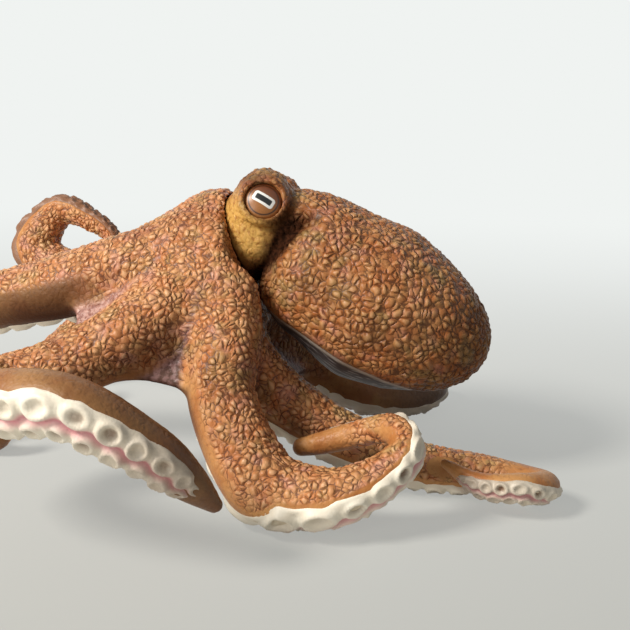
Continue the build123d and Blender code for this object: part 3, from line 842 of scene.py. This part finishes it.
def colour(red, green, blue):
    """A colour given as screen values from 0 to 255."""
    values = np.array([red, green, blue]) / 255
    linear = np.where(values <= 0.04045, values / 12.92, ((values + 0.055) / 1.055) ** 2.4)
    return (*map(float, linear), 1.0)


def new_material(name):
    """An empty material: its graph and its main shader."""
    material = bpy.data.materials.new(name)
    material.use_nodes = True
    tree = material.node_tree
    return material, Graph(tree), tree.nodes["Principled BSDF"]


def value_of(graph, name):
    """A number stored on the points."""
    return graph.add("ShaderNodeAttribute", {}, "Fac", attribute_name=name)


def place_of(graph, name="rest"):
    """A vector stored on the points."""
    return graph.add("ShaderNodeAttribute", {}, "Vector", attribute_name=name)


def part_share(graph, share, most):
    """A share scaled down to at most a number."""
    return graph.math("MULTIPLY", share, most)


def cobble_paint(graph, place, cobble, palette):
    """Colours of the cobbles: mixed tints, pale crests, brown patches and dark grooves."""
    edge, _, tint = cobble
    paint = graph.mix(graph.graded("cloud", graph.noise(place, WARM_SIZE)), palette["light"], palette["warm"])
    layers = [("patch", graph.graded("patch", graph.noise(place, size)), name)
              for name, size in PATCH_SIZES.items()]
    layers.append(("cell", channel(graph, tint, 0), "deep"))
    layers.append(("crest", graph.graded("crest", cobble_height(graph, cobble, CREST_SLOPE)), "crest"))
    layers.append(("groove", graph.graded("groove", edge), "groove"))
    for kind, share, name in layers:
        paint = graph.mix(part_share(graph, share, PAINT_SHARES[kind]), paint, palette[name])
    return paint


def add_bump(graph, shader, height, strength, depth):
    """Fine relief by shading, of a depth in millimetres."""
    bump = graph.add("ShaderNodeBump", {"Height": height, "Strength": strength, "Distance": depth * MM})
    graph.feed(shader.inputs["Normal"], bump)


def skin_surface(graph, shader, place, cobble, bumps):
    """Satin gloss and fine relief of painted skin."""
    fine = graph.noise(place, GRAIN_SIZE, 3.0)
    graph.feed(shader.inputs["Roughness"], graph.line(fine, ROUGH_SPREAD, ROUGH_LEAST))
    # Less gloss where painted shade is laid on
    gloss = part_share(graph, graph.graded("gloss", value_of(graph, "dark")), SKIN_GLOSS)
    graph.feed(shader.inputs["Specular IOR Level"], gloss)
    relief = graph.math("MULTIPLY", cobble_height(graph, cobble, BUMP_SLOPE), bumps)
    add_bump(graph, shader, graph.line(fine, GRAIN_SHARE, relief), 1.0, BUMP_DEPTH)


BACKDROP = colour(240, 243, 241)
ARM_PALETTE = {
    "light": colour(216, 158, 106), "warm": colour(198, 126, 76), "pink": colour(208, 150, 130),
    "olive": colour(176, 150, 96), "deep": colour(160, 96, 54), "crest": colour(234, 188, 142),
    "groove": colour(88, 46, 26),
}
BODY_PALETTE = {
    "light": colour(186, 130, 80), "warm": colour(170, 102, 54), "pink": colour(184, 124, 104),
    "olive": colour(148, 126, 78), "deep": colour(126, 74, 38), "crest": colour(208, 160, 110),
    "groove": colour(72, 38, 18),
}


def arm_material():
    """Skin of the arms and crown: cobbled back, smooth golden flanks, purple webs partly darkened as painted
    shade, cream sucker side, and painted shade under the crown, on lower flanks and on calm arm parts.
    """
    material, graph, shader = new_material("arm_skin")
    place = place_of(graph)
    cobble = cobbles(graph, place, CELL_SIZE)
    bumps = value_of(graph, "bumps")
    speck = graph.noise(place, 0.9, 3.0)
    clouds = graph.noise(place, 9.0, 3.0)
    smooth = graph.mix(graph.graded("cloud", clouds), colour(206, 150, 92), colour(178, 114, 62))
    smooth = graph.mix(part_share(graph, graph.graded("speck", speck), 0.45), smooth, colour(126, 70, 38))
    # Umber tone and painted shade on the calm parts of the arms
    umber_and_shade = graph.mix(speck, colour(92, 60, 36), colour(58, 36, 22))
    smooth = graph.mix(value_of(graph, "umber_and_shade"), smooth, umber_and_shade)
    paint = graph.mix(graph.graded("bumpy", bumps), smooth, cobble_paint(graph, place, cobble, ARM_PALETTE))
    wrinkle = graph.graded("wrinkle", graph.noise(place, 1.1, 4.0))
    lilac = graph.mix(wrinkle, colour(150, 106, 98), colour(196, 158, 148))
    # The darker purple of the webs is partly painted shade
    purple = graph.mix(wrinkle, colour(58, 40, 46), colour(124, 96, 98))
    web = graph.mix(value_of(graph, "lilac"), purple, lilac)
    paint = graph.mix(value_of(graph, "web"), paint, web)
    # Painted shade under the crown and on the lower flanks of the arm roots
    shade = graph.mix(clouds, colour(84, 50, 36), colour(54, 34, 30))
    paint = graph.mix(value_of(graph, "dark"), paint, shade)
    border = graph.line(graph.noise(place, 2.4, 3.0), BORDER_WANDER, value_of(graph, "side"))
    cream = graph.mix(speck, colour(238, 228, 204), colour(214, 194, 164))
    paint = graph.mix(graph.graded("cream_edge", border), paint, cream)
    graph.feed(shader.inputs["Base Color"], paint)
    skin_surface(graph, shader, place, cobble, bumps)
    return material


def body_material():
    """Skin of the head and mantle: cobbled brown, golden cheeks, and painted shade on the turret tops, the
    rear, the front end and the rim, in the neck fold and round the head's cup.
    """
    material, graph, shader = new_material("body_skin")
    place = place_of(graph)
    cobble = cobbles(graph, place, CELL_SIZE * BODY_CELL_SHARE)
    bumps = value_of(graph, "bumps")
    speck = graph.noise(place, 0.8, 3.0)
    paint = cobble_paint(graph, place, cobble, BODY_PALETTE)
    gold = graph.mix(graph.graded("gold", speck), colour(214, 168, 88), colour(166, 112, 50))
    paint = graph.mix(value_of(graph, "gold"), paint, gold)
    # Painted shade on the turret crests, the mantle's rear, front end and lower rim, the neck fold and the
    # head's cup
    shade = graph.mix(graph.graded("shade", speck), colour(66, 38, 24), colour(34, 20, 13))
    paint = graph.mix(value_of(graph, "dark"), paint, shade)
    graph.feed(shader.inputs["Base Color"], paint)
    skin_surface(graph, shader, place, cobble, bumps)
    return material


def belly_material():
    """Grey-black underside with pale streaks running lengthwise."""
    material, graph, shader = new_material("belly")
    place = place_of(graph, "streak")
    streaks = graph.noise(place, 1.0, 3.0)
    share = graph.graded("streak", streaks)
    paint = graph.mix(share, colour(52, 42, 40), colour(150, 146, 146))
    paint = graph.mix(value_of(graph, "rim"), paint, colour(176, 164, 150))
    graph.feed(shader.inputs["Base Color"], paint)
    shader.inputs["Roughness"].default_value = 0.5
    add_bump(graph, shader, streaks, 0.4, 0.3)
    return material


def sucker_material():
    """Cream suckers with a pink groove between the rows, a brown wash with painted shade in the hollows, and
    brown painted shade over the suckers of shaded arms.
    """
    material, graph, shader = new_material("suckers")
    place = place_of(graph)
    clouds = graph.noise(place, 3.0, 3.0)
    fine = graph.noise(place, 0.5, 2.0)
    paint = graph.mix(clouds, colour(250, 244, 228), colour(236, 222, 198))
    paint = graph.mix(value_of(graph, "pink"), paint, colour(224, 150, 156))
    # Brown wash and painted shade in the hollows
    wash = graph.math("MULTIPLY", value_of(graph, "wash"), graph.graded("wash", fine))
    paint = graph.mix(wash, paint, colour(112, 76, 50))
    # Brown painted shade over the suckers of shaded arms
    brown = graph.mix(fine, colour(150, 96, 56), colour(104, 62, 36))
    paint = graph.mix(value_of(graph, "brown"), paint, brown)
    graph.feed(shader.inputs["Base Color"], paint)
    shader.inputs["Roughness"].default_value = 0.48
    add_bump(graph, shader, fine, 0.3, 0.2)
    return material


def bar_share(graph, across, upright, bar):
    """1 inside a rounded bar and 0 outside it."""
    half_width, half_height, corner = bar
    squares = []
    for place, half in ((across, half_width), (upright, half_height)):
        beyond = graph.math("SUBTRACT", graph.math("ABSOLUTE", place), half - corner)
        gap = graph.math("MAXIMUM", beyond, 0.0)
        squares.append(graph.math("MULTIPLY", gap, gap))
    gap = graph.math("SQRT", graph.math("ADD", *squares))
    return graph.ramp(gap, corner + BAR_SOFTNESS, corner - BAR_SOFTNESS)


def eye_material():
    """Glossy eye: brown iris, white rounded frame and black bar pupil."""
    material, graph, shader = new_material("eye")
    place = place_of(graph, "face")
    split = graph.tree.nodes.new("ShaderNodeSeparateXYZ")
    graph.feed(split.inputs[0], place)
    across, upright, out = split.outputs
    fine = graph.noise(place, 0.35, 2.0)
    iris = graph.mix(graph.graded("iris", upright), colour(168, 110, 56), colour(108, 56, 26))
    iris = graph.mix(part_share(graph, fine, 0.5), iris, colour(96, 52, 26))
    ring = graph.math("MULTIPLY", graph.graded("ring_in", out), graph.graded("ring_out", out))
    iris = graph.mix(ring, iris, colour(60, 32, 18))
    paint = graph.mix(bar_share(graph, across, upright, FRAME_BAR), iris, colour(240, 240, 236))
    paint = graph.mix(bar_share(graph, across, upright, PUPIL_BAR), paint, colour(10, 9, 9))
    graph.feed(shader.inputs["Base Color"], paint)
    shader.inputs["Roughness"].default_value = 0.36
    return material


def plain_material(name, light, dark, size):
    """Moulded plastic with faint clouds of colour."""
    material, graph, shader = new_material(name)
    place = graph.scaled(graph.add("ShaderNodeTexCoord", {}, "Object"), 1 / MM)
    clouds = graph.noise(place, size, 3.0)
    graph.feed(shader.inputs["Base Color"], graph.mix(clouds, light, dark))
    shader.inputs["Roughness"].default_value = 0.5
    add_bump(graph, shader, clouds, 0.2, 0.2)
    return material


# Skins

def on_arms(points):
    """For each point, its nearest arm, and where it lies on that arm."""
    best = np.full(len(points), np.inf)
    found = {key: np.zeros(len(points)) for key in ("arm", "place", "left", "out", "side")}
    square = np.sum(points**2, -1)
    for number, name in enumerate(ARM_RING):
        line = LINES[name]
        for start in range(0, len(points), BATCH):
            part = slice(start, start + BATCH)
            gaps = square[part, None] - 2 * points[part] @ line.centre.T + np.sum(line.centre**2, -1)
            index = gaps.argmin(1)
            out = np.sqrt(np.maximum(gaps[np.arange(len(index)), index], 0))
            surface = out - line.radius[index]
            better = surface < best[part]
            spot = index[better]
            rows = np.arange(start, start + len(index))[better]
            offset = points[rows] - line.centre[spot]
            best[rows] = surface[better]
            found["arm"][rows] = number
            found["place"][rows] = line.place[spot]
            found["left"][rows] = line.place[-1] - line.place[spot]
            found["out"][rows] = out[better] / line.radius[spot]
            found["side"][rows] = np.sum(offset * line.look[spot], -1) / line.radius[spot]
    return found


def split_skin(points, faces, labels, normals, values, pieces, material):
    """Cuts a finished skin into pieces by the labels of its faces, and closes each cut inside the skin."""
    for label, (name, body, slot, node) in enumerate(pieces):
        own = faces[labels == label]
        used, index = np.unique(own, return_inverse=True)
        own = index.reshape(own.shape)
        shape = points[used]
        shape_normals = normals[used]
        stored = {key: value[used] for key, value in values.items()}
        caps = []
        for loop in open_loops(own):
            middle = len(shape)
            shape = np.vstack([shape, shape[loop].mean(0)])
            shape_normals = np.vstack([shape_normals, shape_normals[loop].mean(0)])
            stored = {key: np.concatenate([value, value[loop[:1]]]) for key, value in stored.items()}
            caps += [[b, a, middle] for a, b in zip(loop, np.roll(loop, -1))]
        piece = new_piece(name, shape, own.tolist() + caps, body, [node], material)
        for key, value in stored.items():
            set_values(piece.data, key, value)
        piece.data.normals_split_custom_set_from_vertices(unit(shape_normals).tolist())


def open_loops(faces):
    """Loops of points round the open edges of some faces."""
    corners = zip(faces.T, np.roll(faces, -1, axis=1).T)
    edges = np.concatenate([np.stack(pair, -1) for pair in corners])
    known = set(map(tuple, edges.tolist()))
    following = {a: b for a, b in known if (b, a) not in known}
    loops = []
    while following:
        loop = [next(iter(following))]
        while loop[-1] in following:
            loop.append(following.pop(loop[-1]))
        if len(loop) > 3:
            loops.append(np.array(loop[:-1]))
    return loops


def mesh_points(mesh):
    """Places of a mesh's points, in millimetres."""
    places = np.zeros(len(mesh.vertices) * 3, np.float32)
    mesh.vertices.foreach_get("co", places)
    return places.reshape(-1, 3) / MM


def raised_skin(points, faces, values, size):
    """Points and normals of a skin after its relief is raised."""
    mesh = bpy.data.meshes.new("skin")
    mesh.from_pydata((points * MM).tolist(), [], faces.tolist())
    for name in ("rest", "bumps"):
        set_values(mesh, name, values[name])
    shaped = raise_relief(mesh, size)
    result = mesh_points(shaped), point_normals(shaped)
    for used in (mesh, shaped):
        bpy.data.meshes.remove(used)
    return result


def field_normals(points, faces):
    """Normals of the points of a bare skin."""
    mesh = bpy.data.meshes.new("bare")
    mesh.from_pydata(points.tolist(), [], faces.tolist())
    normals = point_normals(mesh)
    bpy.data.meshes.remove(mesh)
    return normals


def calm_arms(spot, normals):
    """How smooth each point of the arms is, and how dark with umber tone and painted shade."""
    calm, umber_and_shade = np.zeros((2, len(normals)))
    for number, name in enumerate(ARM_RING):
        own = spot["arm"] == number
        place = spot["place"][own]
        start, shade = CALM_ARMS.get(name, CALM_TIP)
        calm[own] = ramp(start, start + CALM_RUN, place)
        umber_and_shade[own] = ramp(start + UMBER_AND_SHADE_RUN[0], start + UMBER_AND_SHADE_RUN[1], place) * shade
        if name in CALM_FLANKS:
            look, shade = CALM_FLANKS[name]
            flank = graded("flank_look", normals[own] @ look) * graded("flank_start", place)
            calm[own] = np.maximum(calm[own], flank)
            umber_and_shade[own] = np.maximum(umber_and_shade[own], flank * shade)
    return calm, umber_and_shade


def crown_values(points, normals, spot):
    """Shares that steer the relief and the paint of the crown and arms."""
    away = np.linalg.norm(points - CROWN_CENTRE, axis=-1)
    web = graded("web_out", spot["out"]) * graded("web_end", spot["place"]) * graded("web_away", away)
    lilac = np.zeros(len(points))
    for centre in LILAC_WEBS:
        lilac = np.maximum(lilac, graded("lilac", np.linalg.norm(points - centre, axis=-1)))
    # Painted shade on the underside near the crown and on the lower flanks of the arm roots
    under = graded("under_near", away) * graded("under_look", normals @ MOUTH_AXIS)
    shady = SHADY_SHADE * graded("shady_look", normals @ SHADY_LOOK) * graded("shady_end", spot["place"])
    bare = graded("bare", spot["side"] * graded("bare_start", spot["place"]))
    calm, umber_and_shade = calm_arms(spot, normals)
    # Shaded arms lose their cream border under brown painted shade
    brown = np.array([SHADED_SUCKERS.get(name, 0.0) for name in ARM_RING])[spot["arm"].astype(int)]
    cream = spot["side"] * (1 - brown) * graded("cream_start", spot["place"])
    return {
        "rest": points,
        "bumps": bare * (1 - WEB_SMOOTH * web) * (1 - UNDER_SMOOTH * under) * (1 - CALM_SMOOTH * calm),
        "umber_and_shade": umber_and_shade,
        "web": web * WEB_SHARE,
        "lilac": lilac,
        "dark": np.maximum(under * UNDER_SHADE, shady),
        "side": cream * graded("cream_end", spot["left"]),
    }


def crown_skin(material):
    """Crown and arms: one skin, cut into the crown and each arm."""
    points, faces = crown_field().mesh_data()
    spot = on_arms(points)
    values = crown_values(points, field_normals(points, faces), spot)
    raised, normals = raised_skin(points, faces, values, CELL_SIZE)
    raised[:, 2] = np.maximum(raised[:, 2], 0)
    face_place = spot["place"][faces].mean(1)
    labels = np.where(face_place > JOIN, spot["arm"][faces[:, 0]] + 1, 0)
    pieces = [("crown_skin", "arms", "arm_skin", "arm_crown")]
    pieces += [(f"arm_{name}_skin", "arms", "arm_skin", f"arm_{name}") for name in ARM_RING]
    split_skin(raised, faces, labels, normals, values, pieces, material)


def turret_shares(points):
    """Shares of the golden cheeks, the painted shade on the turrets' tops and rears, and the calmer skin on
    the turrets.
    """
    cheek, crest, calm = np.zeros((3, len(points)))
    for side in (-1, 1):
        offset = points - (HEAD_CENTRE + sided(TURRET_OFFSET, side))
        ring = np.linalg.norm(points - eye_frame(side)[0], axis=-1)
        near = np.linalg.norm(offset - CHEEK_OFFSET * (1, side, 1), axis=-1)
        cheek = np.maximum(cheek, graded("cheek", near) * graded("off_eye", ring))
        calm = np.maximum(calm, np.maximum(graded("calm_cheek", near), graded("calm_eye", ring)))
        shady = np.maximum(graded("turret_top", offset[:, 2]), graded("turret_rear", offset[:, 0]))
        crest = np.maximum(crest, shady * graded("turret", near) * graded("off_eye", ring))
    return cheek, crest, calm


def body_skin(material):
    """Head, turrets and upper mantle: one skin, cut into the head and the mantle."""
    points, faces = body_field().mesh_data()
    offset = points - HEAD_CENTRE
    along, above = mantle_frame(points)
    head = head_distance(single(points))
    mantle = mantle_distance(single(points), 0)
    cheek, crest, calm = turret_shares(points)
    # Painted shade: on the lower rim, the rear, the turret crests, the mantle's front end, the neck fold and
    # inside the head's cup
    shades = {
        "low": graded("low", belly_height(points)),
        "rear": graded("rear", along),
        "crest": crest,
        "front": graded("front", along) * graded("front_low", above),
        "fold": neck_fold(head, mantle) * graded("neck_fold", above),
        "cup": graded("cup_out", np.linalg.norm(offset, axis=-1)) * graded("cup_along", offset @ NECK_AXIS),
    }
    values = {
        "rest": points,
        "bumps": np.clip(1 - BODY_SMOOTH * calm - shades["cup"] - shades["low"], 0, 1),
        "gold": cheek * GOLD_SHARE,
        "dark": np.clip(sum(BODY_SHADES[name] * shade for name, shade in shades.items()), 0, 1),
    }
    raised, normals = raised_skin(points, faces, values, CELL_SIZE * BODY_CELL_SHARE)
    labels = np.where((mantle < head)[faces].all(1), 1, 0)
    pieces = [(f"{name}_skin", "head", "body_skin", f"{name}_shell") for name in ("head", "mantle")]
    split_skin(raised, faces, labels, normals, values, pieces, material)


def belly_skin(material):
    """Streaked underside of the mantle."""
    points, faces = belly_field().mesh_data()
    piece = new_piece("belly", points, faces, "head", ["mantle_belly"], material)
    along, above = mantle_frame(points)
    streak = np.stack([along / STREAK_LENGTH, points[:, 1] / STREAK_WIDTH, above / STREAK_WIDTH], -1)
    set_values(piece.data, "streak", streak)
    set_values(piece.data, "rim", graded("belly_rim", belly_height(points)) * BELLY_RIM_SHARE)


# Suckers

class Mesher:
    """Gathers points, faces and values of a mesh made of several shells."""

    def __init__(self, *names):
        self.points = []
        self.faces = []
        self.values = {name: [] for name in names}
        self.count = 0

    def shell(self, rows, **values):
        """Adds rows of points, each a closed loop, joined into a tube, with fans over its ends."""
        rows = np.asarray(rows, float)
        length, around = rows.shape[:2]
        grid = np.arange(length * around).reshape(length, around) + self.count
        right = np.roll(grid, -1, axis=1)
        quads = np.stack([grid[:-1], right[:-1], right[1:], grid[1:]], -1).reshape(-1, 4)
        self.faces += quads.tolist()
        self.points.append(rows.reshape(-1, 3))
        spread = {name: np.broadcast_to(value, (length, around)) for name, value in values.items()}
        for name, value in spread.items():
            self.values[name].append(value.ravel())
        self.count += length * around
        for row, flip in ((0, True), (-1, False)):
            ends = {name: np.mean(value[row]) for name, value in spread.items()}
            self.fan(grid[row], rows[row].mean(0), flip, ends)

    def fan(self, loop, middle, flip, values):
        """Closes a loop with triangles to its middle."""
        following = np.roll(loop, -1)
        for a, b in zip(loop, following):
            self.faces.append([b, a, self.count] if flip else [a, b, self.count])
        self.points.append(middle[None])
        for name, value in values.items():
            self.values[name].append(np.array([value]))
        self.count += 1

    def piece(self, name, body, slot, node, material):
        """A piece of all the shells, kept over the floor, with places and values stored on its points."""
        points = np.concatenate(self.points)
        points[:, 2] = np.maximum(points[:, 2], 0)
        piece = new_piece(name, points, self.faces, body, [node], material)
        set_values(piece.data, "rest", points)
        for key, values in self.values.items():
            set_values(piece.data, key, np.concatenate(values))
        return piece


class Band:
    """Grid over the sucker side of an arm: rows along it and columns across it, in shares of its radius."""

    def __init__(self, line):
        start = np.interp(BAND_START, line.place, line.length)
        end = line.length[-1] * BAND_END_SHARE
        lengths = [start]
        while lengths[-1] < end:
            lengths.append(lengths[-1] + BAND_ROW * np.interp(lengths[-1], line.length, line.radius))
        self.length = np.array(lengths)
        self.place = self.along(line, line.place)
        self.radius = self.along(line, line.radius)
        self.centre = self.along(line, line.centre)
        self.look = unit(self.along(line, line.look))
        self.across = unit(self.along(line, line.across))
        pace = 2 * np.pi / (CUP_PITCH * self.radius)
        self.phase = np.concatenate([[0], np.cumsum(np.diff(self.length) * pace[:-1])])
        self.turn = np.radians(np.linspace(-BAND_TURN_DEG, BAND_TURN_DEG, BAND_COLUMNS))
        stretch = np.hypot(BAND_HALF_WIDTH * np.cos(self.turn), BAND_RISE * np.sin(self.turn))
        self.sideways = np.cumsum(stretch) * (self.turn[1] - self.turn[0])
        self.sideways -= self.sideways.mean()
        left = (self.length[-1] - self.length) / (TAPER_LENGTH * self.radius)
        self.taper = np.sqrt(np.clip(left, TAPER_LEAST, 1))

    def along(self, line, values):
        """Values of the arm's centre line at the band's rows."""
        columns = values.reshape(len(values), -1).T
        found = np.stack([np.interp(self.length, line.length, column) for column in columns], -1)
        return found.reshape(len(self.length), *values.shape[1:])

    def cups(self):
        """Row length and side of each sucker, in two rows that take turns."""
        for number in range(int(self.phase[-1] / np.pi)):
            yield np.interp(number * np.pi, self.phase, self.length), 1 - 2 * (number % 2)

    def points(self, height):
        """Places of the grid points, raised by a height in shares of the radius."""
        out = unit(np.stack([np.sin(self.turn) / BAND_HALF_WIDTH, np.cos(self.turn) / BAND_RISE], -1))
        side = (BAND_HALF_WIDTH * np.sin(self.turn) + height * out[:, 0]) * self.taper[:, None]
        rise = BAND_MIDDLE + (BAND_RISE * np.cos(self.turn) + height * out[:, 1]) * self.taper[:, None]
        return self.placed(side, rise)

    def placed(self, side, rise):
        """Places given sideways and outwards, in shares of the radius."""
        offset = side[..., None] * self.across[:, None] + rise[..., None] * self.look[:, None]
        return self.centre[:, None] + self.radius[:, None, None] * offset


def lumps(shape, draw):
    """Soft random unevenness over a grid."""
    coarse = draw.normal(size=tuple(count // LUMP_PITCH + 2 for count in shape))
    rows, columns = (np.arange(count) / LUMP_PITCH for count in shape)
    fine = np.array([np.interp(columns, np.arange(len(row)), row) for row in coarse])
    return np.array([np.interp(rows, np.arange(len(fine)), column) for column in fine.T]).T


def add_cup(band, height, wash, length, side, share, draw):
    """Raises one sucker on a band: a thick rim round a shallow dish, or round a dark hole."""
    radius = np.interp(length, band.length, band.radius)
    size = radius * CUP_RADIUS * draw.uniform(*CUP_SIZES)
    hole = draw.uniform() < HOLE_SHARE
    depth, darkening = (HOLE_DEPTH, HOLE_WASH_AND_SHADE) if hole else (DISH_DEPTH, DISH_SHADE)
    rows = np.abs(band.length - length) < CUP_REACH * size
    run = (band.length[rows] - length)[:, None]
    away = (band.sideways[None] - CUP_ROW * side) * radius
    out = np.hypot(run, away) / size
    dish = graded("dish", out)
    raised = RIM_HEIGHT * np.exp(-(((out - RIM_PLACE) / RIM_WIDTH) ** 2)) - depth * dish
    height[rows] += raised * share
    # Painted shade in the hollow of each sucker, with brown wash in the holes
    wash[rows] = np.maximum(wash[rows], dish * share * darkening)


def sucker_band(name, number, material):
    """Both rows of suckers of an arm, with a wandering groove between them."""
    draw = np.random.default_rng(SEED + number)
    band = Band(LINES[name])
    middle = band.sideways[None] - GROOVE_WANDER * np.cos(band.phase)[:, None]
    groove = np.exp(-((middle / GROOVE_WIDTH) ** 2))
    height = LUMP_HEIGHT * lumps(groove.shape, draw) - GROOVE_DEPTH * groove
    wash = np.zeros_like(groove)
    for length, side in band.cups():
        place = np.interp(length, band.length, band.place)
        share = draw.uniform(*CUP_SHARES) * graded("wall_end", place - PLAIN_WALLS.get(name, 0.0))
        add_cup(band, height, wash, length, side, share, draw)
    blank = np.zeros((len(band.length), 3))
    foot_side = (blank + [FOOT_HALF_WIDTH, 0.0, -FOOT_HALF_WIDTH]) * band.taper[:, None]
    foot = band.placed(foot_side, blank + BAND_FOOT)
    pink = np.concatenate([np.exp(-((middle / PINK_WIDTH) ** 2)), blank], 1)
    tip = graded("tip", band.length / band.length[-1])[:, None]
    wash = np.concatenate([np.maximum(wash, TIP_WASH * tip), blank + 1], 1)
    mesher = Mesher("pink", "wash")
    mesher.shell(np.concatenate([band.points(height), foot], 1), pink=pink, wash=wash)
    piece = mesher.piece(f"suckers_{name}_skin", "arms", "suckers", f"suckers_{name}", material)
    # Share of brown painted shade over this arm's suckers
    set_values(piece.data, "brown", np.full(mesher.count, SHADED_SUCKERS.get(name, 0.0)))


# Eyes and mouth

def circle(count, first, second):
    """Angles round a circle, and its points in the plane of two directions."""
    angle = np.linspace(0, 2 * np.pi, count, endpoint=False)
    return angle, np.cos(angle)[:, None] * first + np.sin(angle)[:, None] * second


def eye_disc(side, name, material):
    """Domed eye with its face drawn in the eye's own level and upright directions."""
    centre, look, level, upright = eye_frame(side)
    dome = (EYE_RADIUS**2 + EYE_DOME**2) / (2 * EYE_DOME)
    angle, ring = circle(EYE_COLUMNS, level, upright)
    angle = angle - math.radians(EYE_SLOPE_DEG) * (1 if side < 0 else -1)
    rows = []
    face = []
    for number, share in enumerate([1.0, *np.linspace(1, EYE_LAST_SHARE, EYE_ROWS)]):
        out = EYE_RADIUS * share
        height = math.sqrt(dome**2 - out**2) - (dome - EYE_DOME) - (EYE_WALL if number == 0 else 0.0)
        rows.append(centre + out * ring + height * look)
        face.append(np.stack([np.cos(angle) * out, np.sin(angle) * out, np.full(EYE_COLUMNS, share)], -1))
    mesher = Mesher()
    mesher.shell(rows)
    piece = mesher.piece(f"{name}_face", "head", "eye", name, material)
    set_values(piece.data, "face", np.concatenate([*face, [[0, 0, 1]], [[0, 0, 0]]]))


def mouth(material):
    """Mouth on the underside of the crown: puckered lips round a small beak."""
    axis = unit(MOUTH_AXIS)
    side = np.array([0.0, 1.0, 0.0])
    angle, ring = circle(MOUTH_COLUMNS, side, np.cross(axis, side))
    folds = 1 + MOUTH_FOLD_DEPTH * np.cos(MOUTH_FOLDS * angle)[:, None]
    seat = CROWN_CENTRE + axis * MOUTH_SINK
    rows = []
    for out, up, *_ in MOUTH_ROWS:
        pucker = folds if MOUTH_LIPS[0] < out < MOUTH_LIPS[1] else 1
        rows.append(seat + MOUTH_RADIUS * out * pucker * ring + up * axis)
    pink, wash = np.array(MOUTH_ROWS).T[2:, :, None]
    mesher = Mesher("pink", "wash")
    mesher.shell(rows, pink=pink, wash=wash)
    mesher.piece("mouth_lips", "arms", "mouth", "mouth_disc", material)


# Stage, light and camera

def place_object(name, data):
    """A lamp, camera or mesh as an object of the scene."""
    thing = bpy.data.objects.new(name, data)
    bpy.context.scene.collection.objects.link(thing)
    return thing


def point_at(thing, target):
    """Turns a lamp or camera towards a point."""
    thing.rotation_euler = (target - thing.location).to_track_quat("-Z", "Y").to_euler()


def add_camera():
    """Camera at the photograph's angle."""
    azimuth = math.radians(CAMERA_AZIMUTH_DEG)
    elevation = math.radians(CAMERA_ELEVATION_DEG)
    level = math.cos(elevation)
    away = Vector((math.sin(azimuth) * level, -math.cos(azimuth) * level, math.sin(elevation)))
    data = bpy.data.cameras.new("camera")
    data.lens = CAMERA_LENS
    data.sensor_width = CAMERA_SENSOR
    data.clip_start = CAMERA_NEAR
    camera = place_object("camera", data)
    camera.location = CAMERA_TARGET + away * CAMERA_DISTANCE
    point_at(camera, CAMERA_TARGET)
    bpy.context.scene.camera = camera


def add_lamp(name, location, size, energy, tint):
    """Soft square lamp that points at the object."""
    data = bpy.data.lights.new(name, "AREA")
    data.energy = energy
    data.size = size
    data.color = tint
    lamp = place_object(name, data)
    lamp.location = location
    point_at(lamp, CAMERA_TARGET)


def seen_rays(graph):
    """1 for rays from the camera and for mirrored and passed rays, which show the background as it is."""
    rays = graph.tree.nodes.new("ShaderNodeLightPath").outputs
    seen = graph.math("MAXIMUM", rays["Is Camera Ray"], rays["Is Glossy Ray"])
    return graph.math("MAXIMUM", seen, rays["Is Transmission Ray"])


def add_floor():
    """Pale floor that keeps the shadow, greyer near the camera as painted shade, and fading into the backdrop
    far away.
    """
    corners = [(x * FLOOR_HALF, y * FLOOR_HALF, 0) for x, y in ((-1, -1), (1, -1), (1, 1), (-1, 1))]
    mesh = bpy.data.meshes.new("floor")
    mesh.from_pydata(corners, [], [(0, 1, 2, 3)])
    material, graph, shader = new_material("floor")
    place = graph.add("ShaderNodeTexCoord", {}, "Object")
    depth = graph.add("ShaderNodeSeparateXYZ", {0: place}, 1)
    # The grey near the camera is painted shade, pale far away
    tone = graph.mix(graph.graded("floor_tone", depth), colour(190, 190, 184), BACKDROP)
    graph.feed(shader.inputs["Base Color"], tone)
    shader.inputs["Roughness"].default_value = 0.9
    shader.inputs["Specular IOR Level"].default_value = 0.0
    glow = graph.add("ShaderNodeEmission", {"Color": tone})
    share = graph.line(graph.graded("floor_glow", depth), FLOOR_GLOW_MORE, FLOOR_GLOW)
    share = graph.math("MULTIPLY", share, seen_rays(graph))
    surface = graph.add("ShaderNodeMixShader", {0: share, 1: shader.outputs[0], 2: glow})
    graph.feed(graph.tree.nodes["Material Output"].inputs["Surface"], surface)
    mesh.materials.append(material)
    place_object("floor", mesh)


def add_surroundings():
    """Even light from all round, and a pale backdrop for the camera."""
    world = bpy.data.worlds.new("studio")
    bpy.context.scene.world = world
    world.use_nodes = True
    graph = Graph(world.node_tree)
    background = world.node_tree.nodes["Background"]
    seen = seen_rays(graph)
    graph.feed(background.inputs["Color"], graph.mix(seen, (1.0, 1.0, 1.0, 1.0), BACKDROP))
    strength = graph.add("ShaderNodeMix", {0: seen, 2: WORLD_LIGHT, 3: 1.0})
    graph.feed(background.inputs["Strength"], strength)


# The whole figurine

cream = sucker_material()
eye_paint = eye_material()
crown_skin(arm_material())
body_skin(body_material())
belly_skin(belly_material())
for number, name in enumerate(ARM_RING):
    sucker_band(name, number, cream)
eye_disc(-1, "eye_left", eye_paint)
eye_disc(1, "eye_right", eye_paint)
mouth(cream)
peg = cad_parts["neck_peg"]
peg.data.materials.clear()
peg.data.materials.append(plain_material("peg", colour(60, 56, 54), colour(40, 36, 34), 4.0))

add_floor()
add_surroundings()
for name, lamp in LAMPS.items():
    add_lamp(name, *lamp)
add_camera()
bpy.context.scene.view_settings.view_transform = "Standard"
